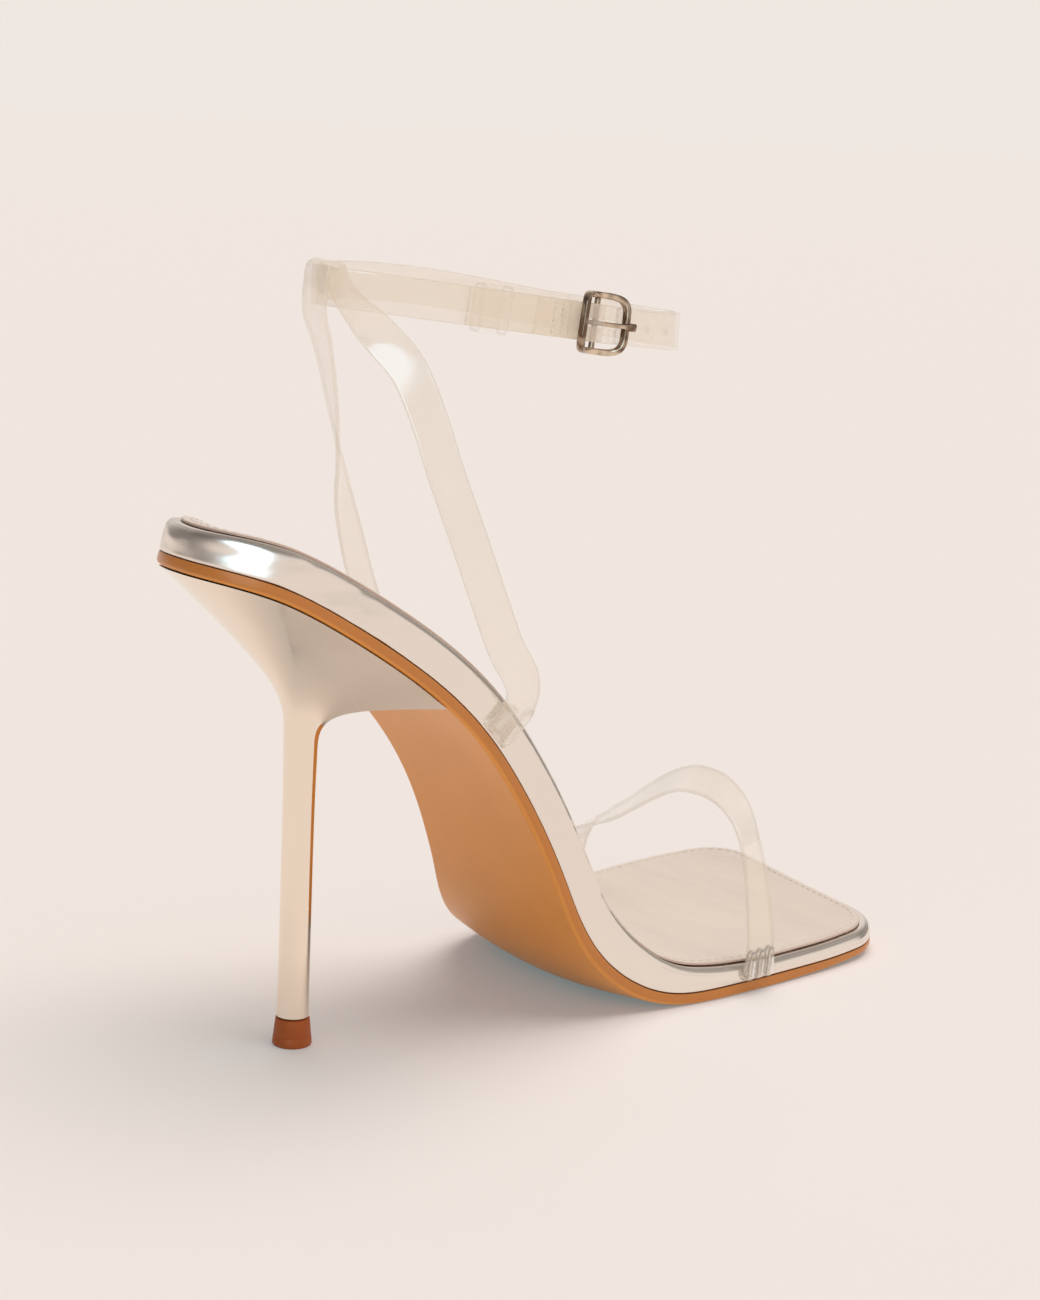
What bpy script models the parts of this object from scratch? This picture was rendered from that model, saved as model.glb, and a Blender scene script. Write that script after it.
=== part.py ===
"""A clear-strap stiletto sandal with a square toe, for the right foot, at its real size.

The shoe stands on its forefoot and on its top lift. The origin is the middle of the top lift's
lower face, +X runs to the toe, +Y to the inner side of the foot and +Z up. Sizes are in
millimetres and are turned into metres where a mesh is made.
"""
import math

import bpy
import numpy as np

MM = 0.001
GAP = 0.3                  # clearance between pieces that meet

# Sole: lengths run along its curve, from the back edge to the front edge
SOLE_LENGTH = 236.5
HEEL_RISE = 104.4          # how far the back of the sole stands above the forefoot
HEEL_OVERHANG = 30.9       # back edge of the sole behind the axis of the heel
BALL_WIDTH = 75.0
OUTSOLE_THICKNESS = 2.6
FOOTBED_THICKNESS = 8.8
SOCK_THICKNESS = 0.6
SOCK_INSET = 2.6
BELLY_DEPTH = 3.4          # roundness of the sole across, behind the ball
HEEL_CUP = 1.1             # dish of the footbed across the heel seat
CUP_FADE = 1.25            # the dish fades by this share of its depth along the whole sole
CUP_LEAST = 0.3
BACK_CORNER = 15.0
FRONT_CORNER = 12.0
FRONT_SKEW = 0.16          # the front edge runs forward to the big toe
EDGE_RADIUS = 2.0
LOWER_BEVEL = 0.6          # of the footbed
SOLE_EDGE_RADIUS = 0.9
UPPER_BEVEL = 0.3          # of the outsole

# Heel
WING_REACH = 63.0          # station of the tips of the heel's wings
BREAST_DEPTH = 9.0
SEAT_INSET = 0.4
FLARE_BACK = 78.0          # heights where the seat's lines would meet the stem
FLARE_FRONT = 72.3
FLARE_FILLET = 8.5
FLARE_STRAIGHT = 0.86      # share of the seat's lines that stays straight
STEM_RADIUS = 3.45
LIFT_RADIUS = 4.2
LIFT_HEIGHT = 6.0

# Straps
STRAP_WIDTH = 8.0
TOE_STRAP_WIDTH = 9.0
STRAP_THICKNESS = 1.0
TUCK_DEPTH = 4.0           # length of strap end held between footbed and outsole
TUCK_ROUND = 0.5           # inner radius of its turn up the side
SLING_STATION = 77.0       # where the sling leaves the sole
SLING_APEX = 162.1         # height of the bend that carries the ankle strap
SLING_BEND = 2.3
ANKLE_REAR = 3.0           # place of the ankle strap's rear turn
ANKLE_LENGTH = 94.5
ANKLE_HALF_WIDTH = 17.5
ANKLE_DROP = 12.0          # how much lower the front turn lies
TOE_STATION = 187.5
TOE_ARCH = 39.0            # height of the toe strap's arch above the footbed
TOE_LEAN = 5.0

# Buckle
BUCKLE_PLACE = 66.0        # along the ankle strap, from its rear turn
BUCKLE_HALF_LENGTH = 6.4
BUCKLE_HALF_HEIGHT = 5.9
BUCKLE_WIRE = 0.7
BUCKLE_POWER = 5.0         # squareness of the frame's superellipse
BAR_SHARE = 0.93           # the centre bar is this much of the frame's wire
PRONG_WIRE = 0.5
PRONG_PLAY = 0.1
STRAP_SETTLE = 2.2         # half lengths of the buckle after which a strap lies on the loop
FOLD_LENGTH = 16.0         # strap end folded back behind the buckle
TIP_LENGTH = 35.0          # strap end that runs on past the buckle, under the keeper
KEEPER_PLACE = 33.5
KEEPER_WIDTH = 6.5
KEEPER_WALL = 0.8
KEEPER_ROUND = 0.9
KEEPER_INNER_ROUND = 0.15
HOLE_RADIUS = 0.8
HOLE_START = 2.6           # half lengths of the buckle from its centre bar to the first hole
HOLE_PITCH = 9.5
HOLE_COUNT = 2

# Each row of a table is one station; lengths are shares of the size named in the function
PROFILE_ROWS = (           # station, slope in degrees before it is scaled to the rise
    (0.00, 12.0),
    (0.105, 29.0),
    (0.23, 36.0),
    (0.37, 54.0),
    (0.505, 66.0),
    (0.63, 31.0),
    (0.725, 0.0),
    (0.84, 0.0),
    (1.05, -6.0),
    (1.10, -7.0),
)
WIDTH_ROWS = (             # station, inner half width, outer half width
    (0.00, 0.205, 0.225),
    (0.05, 0.285, 0.243),
    (0.105, 0.340, 0.256),
    (0.23, 0.331, 0.280),
    (0.37, 0.291, 0.280),
    (0.505, 0.324, 0.311),
    (0.63, 0.482, 0.341),
    (0.755, 0.593, 0.377),
    (0.89, 0.653, 0.360),
    (1.05, 0.560, 0.273),
)
THICKNESS_ROWS = (         # station, footbed thickness
    (0.00, 0.86),
    (0.30, 0.91),
    (0.50, 0.94),
    (0.58, 1.00),
    (0.62, 0.96),
    (0.66, 0.82),
    (0.70, 0.66),
    (0.75, 0.50),
    (0.82, 0.40),
    (1.10, 0.43),
)
BELLY_ROWS = (             # station, how far the middle hangs below the sides
    (0.00, 0.00),
    (0.42, 0.00),
    (0.56, 0.75),
    (0.63, 1.00),
    (0.675, 0.45),
    (0.72, 0.05),
    (0.76, 0.00),
    (1.10, 0.00),
)
OUTSOLE_ROWS = (           # station, outsole thickness
    (0.00, 1.00),
    (0.80, 1.00),
    (0.95, 0.72),
    (1.10, 0.62),
)
SLING_OUTER_ROWS = (       # back, out, rise, turn and tip of the strap's width
    (-0.020, 1.06, 0.035, -5.0, 0.0),
    (0.010, 1.09, 0.085, -12.0, 15.0),
    (0.140, 1.11, 0.160, -17.0, 18.0),
    (0.235, 1.08, 0.250, -18.0, 15.0),
    (0.365, 0.97, 0.405, -18.0, 12.0),
    (0.485, 0.82, 0.560, -18.0, 10.0),
    (0.550, 0.64, 0.690, -20.0, 8.0),
    (0.625, 0.46, 0.795, -26.0, 5.0),
    (0.755, 0.27, 0.870, -45.0, 0.0),
    (0.880, 0.08, 0.940, -78.0, 0.0),
)
SLING_INNER_ROWS = (
    (1.065, 0.02, 0.940, -92.0, 0.0),
    (1.040, 0.06, 0.905, -96.0, 0.0),
    (0.940, 0.20, 0.850, -100.0, 0.0),
    (0.835, 0.32, 0.775, -106.0, 0.0),
    (0.695, 0.51, 0.660, -115.0, 0.0),
    (0.590, 0.65, 0.560, -128.0, 0.0),
    (0.475, 0.80, 0.450, -148.0, 0.0),
    (0.330, 0.94, 0.330, -160.0, -10.0),
    (0.165, 1.06, 0.190, -165.0, -15.0),
    (0.035, 1.10, 0.090, -170.0, -10.0),
    (-0.030, 1.07, 0.035, -175.0, 0.0),
)
ANKLE_ROWS = (             # along, out, drop: rear turn, outer side, front turn, inner side
    (0.000, 0.00, 0.00),
    (0.000, -0.14, 0.00),
    (0.003, -0.27, 0.00),
    (0.055, -0.52, 0.04),
    (0.180, -0.80, 0.17),
    (0.440, -1.00, 0.44),
    (0.630, -0.96, 0.65),
    (0.790, -0.76, 0.82),
    (0.910, -0.46, 0.94),
    (0.975, -0.20, 1.00),
    (1.000, 0.02, 1.00),
    (0.965, 0.25, 0.96),
    (0.880, 0.52, 0.85),
    (0.720, 0.84, 0.66),
    (0.440, 1.00, 0.28),
    (0.220, 0.84, 0.08),
    (0.060, 0.52, 0.00),
    (0.003, 0.27, 0.00),
    (0.000, 0.14, 0.00),
)
TOE_ROWS = (               # across, rise, back, turn and tip of the strap's width
    (0.000, 0.16, 0.00, 8.0, 0.0),
    (0.018, 0.42, 0.12, 14.0, 2.0),
    (0.040, 0.67, 0.35, 22.0, 6.0),
    (0.068, 0.84, 0.60, 26.0, 14.0),
    (0.110, 0.94, 0.80, 28.0, 19.0),
    (0.170, 1.00, 1.00, 28.0, 21.0),
    (0.245, 1.01, 1.05, 29.0, 21.0),
    (0.335, 0.98, 1.00, 30.0, 21.0),
    (0.455, 0.88, 0.80, 32.0, 20.0),
    (0.590, 0.73, 0.60, 32.0, 18.0),
    (0.705, 0.60, 0.40, 28.0, 15.0),
    (0.830, 0.48, 0.20, 20.0, 10.0),
    (0.930, 0.37, 0.05, 10.0, 5.0),
    (0.990, 0.22, 0.00, 3.0, 2.0),
)
BUCKLE_LAYER_ROWS = (      # along from the centre bar, outward place of the strap over the bar
    (-2.0, 1.0),
    (-1.0, -0.04),
    (-0.25, 1.0),
    (0.25, 1.0),
    (1.0, -0.04),
    (STRAP_SETTLE, 0.0),
)


def smooth_rows(rows, places):
    """Values of a table's other columns at places in its first column, without overshoot."""
    table = np.array(rows, float)
    knots, values = table[:, 0], table[:, 1:]
    steps = np.diff(knots)[:, None]
    slopes = np.diff(values, axis=0) / steps
    before, after = slopes[:-1], slopes[1:]
    flat = before * after <= 0
    mean = 2 * before * after / np.where(flat, 1.0, before + after)
    inner = np.where(flat, 0.0, mean)
    tangents = np.vstack([slopes[:1], inner, slopes[-1:]])
    places = np.clip(np.asarray(places, float), knots[0], knots[-1])
    index = np.clip(np.searchsorted(knots, places, side="right") - 1, 0, len(steps) - 1)
    width = steps[index, 0]
    share = ((places - knots[index]) / width)[..., None]
    low, high = values[index], values[index + 1]
    rise_low = tangents[index] * width[..., None]
    rise_high = tangents[index + 1] * width[..., None]
    square, cube = share ** 2, share ** 3
    return ((2 * cube - 3 * square + 1) * low + (cube - 2 * square + share) * rise_low
            + (3 * square - 2 * cube) * high + (cube - square) * rise_high)


def sole_curve(scale):
    """Stations along the sole with its slope, and its place in the upright plane."""
    stations = np.linspace(0.0, 1.1 * SOLE_LENGTH, 551)
    slope = np.radians(smooth_rows(PROFILE_ROWS, stations / SOLE_LENGTH)[:, 0])
    slope = np.where(slope > 0, slope * scale, slope)
    step = stations[1] - stations[0]
    middle = (slope[1:] + slope[:-1]) / 2
    along = np.concatenate([[0.0], np.cumsum(np.cos(middle) * step)])
    down = np.concatenate([[0.0], np.cumsum(np.sin(middle) * step)])
    return stations, slope, along - HEEL_OVERHANG, down.max() - down


def fitted_curve():
    """The sole's curve, with the slopes scaled until the back stands at HEEL_RISE."""
    low, high = 0.1, 1.35
    for _ in range(40):
        scale = (low + high) / 2
        if sole_curve(scale)[3][0] < HEEL_RISE:
            low = scale
        else:
            high = scale
    return sole_curve(scale)


STATIONS, SLOPE, ALONG, HEIGHT = fitted_curve()


def lift(station, across, above):
    """Points in space from a station, a place across and a height above the outsole's top."""
    station, across, above = np.broadcast_arrays(station, across, above)
    angle = np.interp(station, STATIONS, SLOPE)
    height = np.interp(station, STATIONS, HEIGHT)
    x = np.interp(station, STATIONS, ALONG) + above * np.sin(angle)
    z = height - belly(station, across, height) + above * np.cos(angle) + OUTSOLE_THICKNESS
    return np.stack([x, across, z], -1)


def belly(station, across, height):
    """How far a point across lies below the sole's sides, never below its flat."""
    depth = smooth_rows(BELLY_ROWS, station / SOLE_LENGTH)[..., 0] * BELLY_DEPTH
    inner, outer = half_widths(station)
    share = np.clip((2 * across - inner + outer) / (inner + outer), -1, 1)
    return np.minimum(depth, height) * (1 - share ** 2)


def half_widths(station):
    """Half widths of the sole to the inner and to the outer side, without its corners."""
    widths = smooth_rows(WIDTH_ROWS, np.asarray(station) / SOLE_LENGTH) * BALL_WIDTH
    return widths[..., 0], widths[..., 1]


def corner_cut(distance, radius):
    """How far a round corner takes the side in, at a distance from the end."""
    inside = np.clip(radius - distance, 0.0, radius)
    return radius - np.sqrt(radius ** 2 - inside ** 2)


def outline_edges(station):
    """Inner and outer edge of the sole at a station of its centre line, with its corners."""
    inner, outer = half_widths(station)
    cut = corner_cut(station, BACK_CORNER) + corner_cut(SOLE_LENGTH - station, FRONT_CORNER)
    return inner - cut, outer - cut


def skewed(station, across):
    """Station of a point on a cross line, which leans forward to the inner side at the toe."""
    return station + FRONT_SKEW * (station / SOLE_LENGTH) ** 2 * across


def corner_stations(radius, count):
    """Distances from an end that follow a round corner in even turns."""
    return radius * (1 - np.cos(np.linspace(0, math.pi / 2, count)))


def sole_stations():
    """Stations of the cross lines, close together at the corners."""
    back = corner_stations(BACK_CORNER, 7)
    front = SOLE_LENGTH - corner_stations(FRONT_CORNER, 6)[::-1]
    middle = np.linspace(back[-1], front[0], 27)[1:-1]
    return np.concatenate([back, middle, front])


CROSS_POINTS = 6


def border_index(rows, columns):
    """Row and column of a grid's border, from the outer back corner round by the inner side."""
    index = [(0, j) for j in range(columns)]
    index += [(i, columns - 1) for i in range(1, rows)]
    index += [(rows - 1, j) for j in range(columns - 2, -1, -1)]
    index += [(i, 0) for i in range(rows - 2, 0, -1)]
    rows_index, columns_index = zip(*index)
    return np.array(rows_index), np.array(columns_index)


def sole_grid(inset):
    """Stations and places across of the sole's grid, its border moved in by the inset."""
    base = sole_stations()[:, None]
    inner, outer = outline_edges(base)
    share = np.linspace(0, 1, CROSS_POINTS)[None, :]
    across = -outer + share * (inner + outer)
    station = skewed(base, across)
    rows, columns = border_index(*station.shape)
    loop = np.stack([station[rows, columns], across[rows, columns]], -1)
    ahead = np.roll(loop, -1, 0) - loop
    behind = loop - np.roll(loop, 1, 0)
    turn = ahead / np.linalg.norm(ahead, axis=1)[:, None]
    turn = turn + behind / np.linalg.norm(behind, axis=1)[:, None]
    turn /= np.linalg.norm(turn, axis=1)[:, None]
    loop = loop + inset * np.stack([turn[:, 1], -turn[:, 0]], -1)
    station[rows, columns] = loop[:, 0]
    across[rows, columns] = loop[:, 1]
    low, high = across[:, :1], across[:, -1:]
    first, last = station[:, :1], station[:, -1:]
    return first + share * (last - first), low + share * (high - low)


def footbed_top(station, across):
    """Height of the footbed's upper face, which is dished a little across the heel."""
    base = station / SOLE_LENGTH
    inner, outer = half_widths(station)
    middle, half = (inner - outer) / 2, (inner + outer) / 2
    share = np.clip((across - middle) / half, -1, 1)
    thickness = smooth_rows(THICKNESS_ROWS, base)[..., 0] * FOOTBED_THICKNESS
    cup = HEEL_CUP * np.clip(CUP_FADE * (1 - base), CUP_LEAST, 1.0)
    return thickness - cup * (1 - share ** 2)


def grid_faces(rows, columns, start, flip):
    """Triangles of a grid of points that starts at an index, all split the same way."""
    faces = []
    for i in range(rows - 1):
        for j in range(columns - 1):
            corner = start + i * columns + j
            across = corner + columns + 1
            for face in ((corner, corner + columns, across), (corner, across, corner + 1)):
                faces.append(face[::-1] if flip else face)
    return faces


def slab(layers):
    """A closed sheet that follows the sole: layers are pairs of an inset and a height."""
    grids = []
    for inset, height in layers:
        station, across = sole_grid(inset)
        grids.append(lift(station, across, height(station, across)))
    rows, columns = grids[0].shape[:2]
    border = border_index(rows, columns)
    count = rows * columns
    flat_border = border[0] * columns + border[1]
    points = [grids[0].reshape(-1, 3), grids[-1].reshape(-1, 3)]
    faces = grid_faces(rows, columns, 0, True) + grid_faces(rows, columns, count, False)
    loops = [flat_border]
    start = 2 * count
    for grid in grids[1:-1]:
        points.append(grid[border])
        loops.append(np.arange(start, start + len(flat_border)))
        start += len(flat_border)
    loops.append(flat_border + count)
    for low, high in zip(loops[:-1], loops[1:]):
        faces += band_faces(high, low)
    return np.vstack(points), faces


def band_faces(low, high):
    """Triangles between two closed loops of as many points."""
    low_next, high_next = np.roll(low, -1), np.roll(high, -1)
    halves = np.stack([low, low_next, high_next, low, high_next, high], -1)
    return [tuple(face) for face in halves.reshape(-1, 3).tolist()]


def make_object(name, points, faces, material, sharp=40.0):
    """An object in metres from points in millimetres, smooth but for its sharp edges."""
    mesh = bpy.data.meshes.new(name)
    mesh.from_pydata((np.asarray(points) * MM).tolist(), [], faces)
    mesh.update()
    mesh.shade_smooth()
    mesh.set_sharp_from_angle(angle=math.radians(sharp))
    mesh.materials.append(material)
    thing = bpy.data.objects.new(name, mesh)
    bpy.context.scene.collection.objects.link(thing)
    return thing


def material(name, colour, roughness, metallic=0.0, transmission=0.0):
    """A plain surface of one colour."""
    result = bpy.data.materials.new(name)
    result.use_nodes = True
    shader = result.node_tree.nodes["Principled BSDF"]
    shader.inputs["Base Color"].default_value = (*colour, 1.0)
    shader.inputs["Roughness"].default_value = roughness
    shader.inputs["Metallic"].default_value = metallic
    shader.inputs["Transmission Weight"].default_value = transmission
    return result


def cutter(points, faces, target):
    """Cuts a shape out of an object."""
    tool = make_object("cutter_" + target.name, points, faces, target.data.materials[0])
    tool.hide_render = True
    tool.display_type = "WIRE"
    cut = target.modifiers.new("cut", "BOOLEAN")
    cut.operation = "DIFFERENCE"
    cut.solver = "EXACT"
    cut.object = tool


def outsole():
    """The thin outsole, with a rounded lower edge."""
    radius = SOLE_EDGE_RADIUS

    def low(station):
        share = smooth_rows(OUTSOLE_ROWS, station / SOLE_LENGTH)[..., 0]
        return -OUTSOLE_THICKNESS * share

    layers = (
        (radius, lambda s, y: low(s)),
        (UPPER_BEVEL * radius, lambda s, y: low(s) + UPPER_BEVEL * radius),
        (0.0, lambda s, y: low(s) + radius),
        (0.0, lambda s, y: -UPPER_BEVEL),
        (UPPER_BEVEL, lambda s, y: 0.0),
    )
    points, faces = slab(layers)
    return make_object("outsole", points, faces, material("outsole_tan", (0.55, 0.23, 0.07), 0.35))


def footbed():
    """The padded footbed, wrapped over its rounded upper edge."""
    turns = np.linspace(0, math.pi / 2, 4)
    layers = [(LOWER_BEVEL, lambda s, y: GAP), (0.0, lambda s, y: GAP + LOWER_BEVEL)]
    for turn in turns:
        inset = EDGE_RADIUS * (1 - math.cos(turn))
        sink = EDGE_RADIUS * (1 - math.sin(turn))
        layers.append((inset, lambda s, y, sink=sink: footbed_top(s, y) - sink))
    points, faces = slab(layers)
    return make_object("footbed", points, faces, material("footbed_metallic", (0.8, 0.72, 0.64), 0.2, 1.0))


def insole_sock():
    """The thin sock that lies on the footbed."""
    layers = (
        (SOCK_INSET, lambda s, y: footbed_top(s, y) + GAP),
        (SOCK_INSET, lambda s, y: footbed_top(s, y) + GAP + 0.6 * SOCK_THICKNESS),
        (SOCK_INSET + 0.5, lambda s, y: footbed_top(s, y) + GAP + SOCK_THICKNESS),
    )
    points, faces = slab(layers)
    return make_object("insole_sock", points, faces, material("sock_metallic", (0.7, 0.62, 0.54), 0.35, 0.8))


def heel_seat():
    """Grid of the heel's upper face, which fits the outsole from the back to the wing tips."""
    turns = corner_stations(BACK_CORNER, 7)[:-1] / WING_REACH
    share = np.concatenate([turns, np.linspace(BACK_CORNER / WING_REACH, 1.0, 9)])[:, None]
    place = np.linspace(-1, 1, 9)[None, :]
    reach = WING_REACH - BREAST_DEPTH * (1 - place ** 2)
    base = share * (reach - SEAT_INSET)
    inner, outer = outline_edges(base)
    across = (inner - outer) / 2 + place * ((inner + outer) / 2 - SEAT_INSET)
    return lift(base + SEAT_INSET, across, -OUTSOLE_THICKNESS - GAP)


def heel():
    """The heel: a seat that flares from a slim round stem."""
    seat = heel_seat()
    rows, columns = seat.shape[:2]
    border = border_index(rows, columns)
    rim = seat[border]
    angle = np.arctan2(rim[:, 1], rim[:, 0])
    ring = np.stack([np.cos(angle), np.sin(angle), np.zeros_like(angle)], -1)
    ring *= STEM_RADIUS
    upright = np.array([0, 0, 1])
    front = (1 + np.cos(angle))[:, None] / 2
    meet = FLARE_BACK + front * (FLARE_FRONT - FLARE_BACK)
    corner = 1.05 * ring + meet * upright
    end = 1.05 * ring + (meet - FLARE_FILLET) * upright
    first = rim + FLARE_STRAIGHT * (corner - rim)
    second = end + FLARE_STRAIGHT * (corner - end)
    points = [seat.reshape(-1, 3)]
    faces = grid_faces(rows, columns, 0, False)
    loops = [border[0] * columns + border[1]]
    start = rows * columns
    rings = []
    for share in np.linspace(0, 1, 12)[1:]:
        rest = 1 - share
        rings.append(rest ** 3 * rim + 3 * rest ** 2 * share * first
                     + 3 * rest * share ** 2 * second + share ** 3 * end)
    foot = LIFT_HEIGHT + GAP
    for height, radius in ((0.85, 1.01), (0.5, 0.97), (0.2, 0.97), (0.0, 1.01)):
        level = foot + height * (meet - FLARE_FILLET - foot)
        rings.append(radius * ring + level * upright)
    for loop in rings:
        points.append(loop)
        loops.append(np.arange(start, start + len(rim)))
        start += len(rim)
    for high, low in zip(loops[:-1], loops[1:]):
        faces += band_faces(high, low)
    points.append(np.array([[0, 0, foot]]))
    last = loops[-1]
    for one, other in zip(last, np.roll(last, -1)):
        faces.append((int(one), int(other), start))
    return make_object("heel", np.vstack(points), faces,
                       material("heel_metallic", (0.85, 0.72, 0.6), 0.1, 1.0), 50.0)


def top_lift():
    """The small wearing block under the stem."""
    sides = 28
    angle = np.linspace(0, 2 * math.pi, sides, endpoint=False)
    ring = np.stack([np.cos(angle), np.sin(angle), np.zeros_like(angle)], -1)
    rows = ((0.0, 0.94), (0.07, 1.0), (0.93, 0.87), (1.0, 0.82))
    points = [ring * LIFT_RADIUS * radius + np.array([0, 0, LIFT_HEIGHT * height])
              for height, radius in rows]
    faces = [tuple(range(sides))[::-1], tuple(range(3 * sides, 4 * sides))]
    for row in range(3):
        low = np.arange(row * sides, (row + 1) * sides)
        faces += band_faces(low, low + sides)
    return make_object("top_lift", np.vstack(points), faces,
                       material("lift_brown", (0.25, 0.09, 0.03), 0.45))


def unit(vectors):
    """Vectors scaled to a length of one."""
    return vectors / np.linalg.norm(vectors, axis=-1, keepdims=True)


def smooth_path(points, spacing, closed=False):
    """Points at an even spacing on a smooth curve through a few points of any dimension."""
    points = np.asarray(points, float)
    if closed:
        points = np.vstack([points[-1:], points, points[:2]])
    else:
        points = np.vstack([2 * points[0] - points[1], points, 2 * points[-1] - points[-2]])
    pieces = []
    for before, start, end, after in zip(points[:-3], points[1:-2], points[2:-1], points[3:]):
        chord = np.linalg.norm((end - start)[:3])
        into = (end - before) * chord / (chord + np.linalg.norm((start - before)[:3]))
        out = (after - start) * chord / (chord + np.linalg.norm((after - end)[:3]))
        share = np.linspace(0, 1, 12, endpoint=False)[:, None]
        square, cube = share ** 2, share ** 3
        pieces.append((2 * cube - 3 * square + 1) * start + (cube - 2 * square + share) * into
                      + (3 * square - 2 * cube) * end + (cube - square) * out)
    pieces.append(points[-2:-1])
    dense = np.vstack(pieces)
    length = np.concatenate([[0], np.cumsum(np.linalg.norm(np.diff(dense[:, :3], axis=0), axis=1))])
    count = max(2, int(round(length[-1] / spacing)))
    places = np.linspace(0, length[-1], count + 1)
    return np.stack([np.interp(places, length, column) for column in dense.T], -1)


def ribbon(centres, facing, width, thickness):
    """A flat band along a path: its width points along facing, square to the path."""
    ahead = np.gradient(centres, axis=0)
    ahead = unit(ahead)
    side = unit(facing - np.sum(facing * ahead, 1)[:, None] * ahead)
    out = np.cross(ahead, side)
    half, deep = width / 2, thickness / 2
    section = np.array([(half, -deep), (half, deep), (-half, deep), (-half, -deep)])
    points = (centres[:, None, :] + section[None, :, :1] * side[:, None, :]
              + section[None, :, 1:] * out[:, None, :])
    count, corners = points.shape[:2]
    faces = [tuple(range(corners))[::-1], tuple(range((count - 1) * corners, count * corners))]
    for row in range(count - 1):
        low = np.arange(row * corners, (row + 1) * corners)
        faces += band_faces(low, low + corners)
    return points.reshape(-1, 3), faces


def pointing(turn, tip):
    """Direction with a turn about the upright from +X and a tip above the level, in degrees."""
    turn, tip = math.radians(turn), math.radians(tip)
    return np.array([math.cos(tip) * math.cos(turn), math.cos(tip) * math.sin(turn), math.sin(tip)])


def side_edge(station, side):
    """Place across of the sole's edge on one side, +1 inner and -1 outer."""
    inner, outer = outline_edges(station)
    return float(inner) if side > 0 else -float(outer)


def side_point(station, side):
    """Point of the sole's upper edge on one side."""
    edge = side_edge(station, side)
    return lift(skewed(station, edge), edge, 0.0)


def anchor_rows(station, side, sense):
    """Strap end: tucked under the footbed, round its lower edge and up its side."""
    edge = side_edge(station, side)
    clear = STRAP_THICKNESS / 2 + GAP
    base = skewed(station, edge)
    half = STRAP_WIDTH / 2
    facing = sense * unit(side_point(station + half, side) - side_point(station - half, side))
    top = float(footbed_top(np.array(base), np.array(edge)))
    bend = clear + TUCK_ROUND
    rows = [(TUCK_DEPTH, clear), (TUCK_DEPTH / 2, clear), (TUCK_ROUND, clear)]
    for turn in (30, 60, 90):
        angle = math.radians(turn)
        rows.append((TUCK_ROUND - bend * math.sin(angle), clear + bend * (1 - math.cos(angle))))
    low = clear + bend
    rows += [(-clear, low + share * (top - low)) for share in (0.35, 0.65, 0.9)]
    return [np.concatenate([lift(base, edge - side * inward, above), facing])
            for inward, above in rows]


def strap(name, start, rows, end, width, surface):
    """A strap between its two anchored ends; rows hold a place and a direction of its width."""
    start, end = np.array(start), np.array(end)[::-1]
    between = smooth_path(np.vstack([start[-1:], rows, end[:1]]), 1.5)
    path = np.vstack([start[:-1], between, end[1:]])
    points, faces = ribbon(path[:, :3], path[:, 3:], width, STRAP_THICKNESS)
    return make_object(name, points, faces, surface, 60.0)


def pocket(target, rows, width):
    """Cuts the room for a strap's tucked end out of the footbed, with its clearance."""
    rows = np.array(rows[:-2])
    rows[0, :3] += unit(rows[0, :3] - rows[1, :3]) * GAP
    shape = ribbon(rows[:, :3], rows[:, 3:], width + 2 * GAP, STRAP_THICKNESS + 2 * GAP)
    cutter(*shape, target)


def sling_strap(base, surface):
    """The sling: up the outer side, over the ankle strap's rear turn and down the inner side."""
    outer = anchor_rows(SLING_STATION, -1, 1)
    inner = anchor_rows(SLING_STATION, 1, -1)
    rows = []
    for legs, anchor, side in ((SLING_OUTER_ROWS, outer, -1), (SLING_INNER_ROWS, inner, 1)):
        foot = anchor[-1][:3]
        if side > 0:
            rows += apex_rows()
        for back, out, rise, turn, tip in legs:
            place = (foot[0] + back * (ANKLE_REAR - foot[0]), foot[1] * out,
                     foot[2] + rise * (SLING_APEX - foot[2]))
            rows.append(np.concatenate([place, pointing(turn, tip)]))
    for anchor in (outer, inner):
        pocket(base, anchor, STRAP_WIDTH)
    return strap("sling_strap", outer, rows, inner, STRAP_WIDTH, surface)


def apex_rows():
    """The bend over the ankle strap, from its inside to its outside."""
    rows = []
    for turn in (-15, 30, 60, 90, 120, 150, 195):
        angle = math.radians(turn)
        place = (ANKLE_REAR + SLING_BEND * math.cos(angle), 0.0,
                 SLING_APEX + SLING_BEND * math.sin(angle))
        rows.append(np.concatenate([place, (0, -1, 0)]))
    return rows


def toe_strap(base, surface):
    """The strap that arches over the toes."""
    outer = anchor_rows(TOE_STATION, -1, 1)
    inner = anchor_rows(TOE_STATION, 1, 1)
    start, end = outer[-1][:3], inner[-1][:3]
    rows = []
    for across, rise, back, turn, tip in TOE_ROWS:
        place = start + across * (end - start)
        place = place + np.array([-back * TOE_LEAN, 0, rise * TOE_ARCH])
        rows.append(np.concatenate([place, pointing(turn, tip)]))
    for anchor in (outer, inner):
        pocket(base, anchor, TOE_STRAP_WIDTH)
    return strap("toe_strap", outer, rows, inner, TOE_STRAP_WIDTH, surface)


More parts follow.
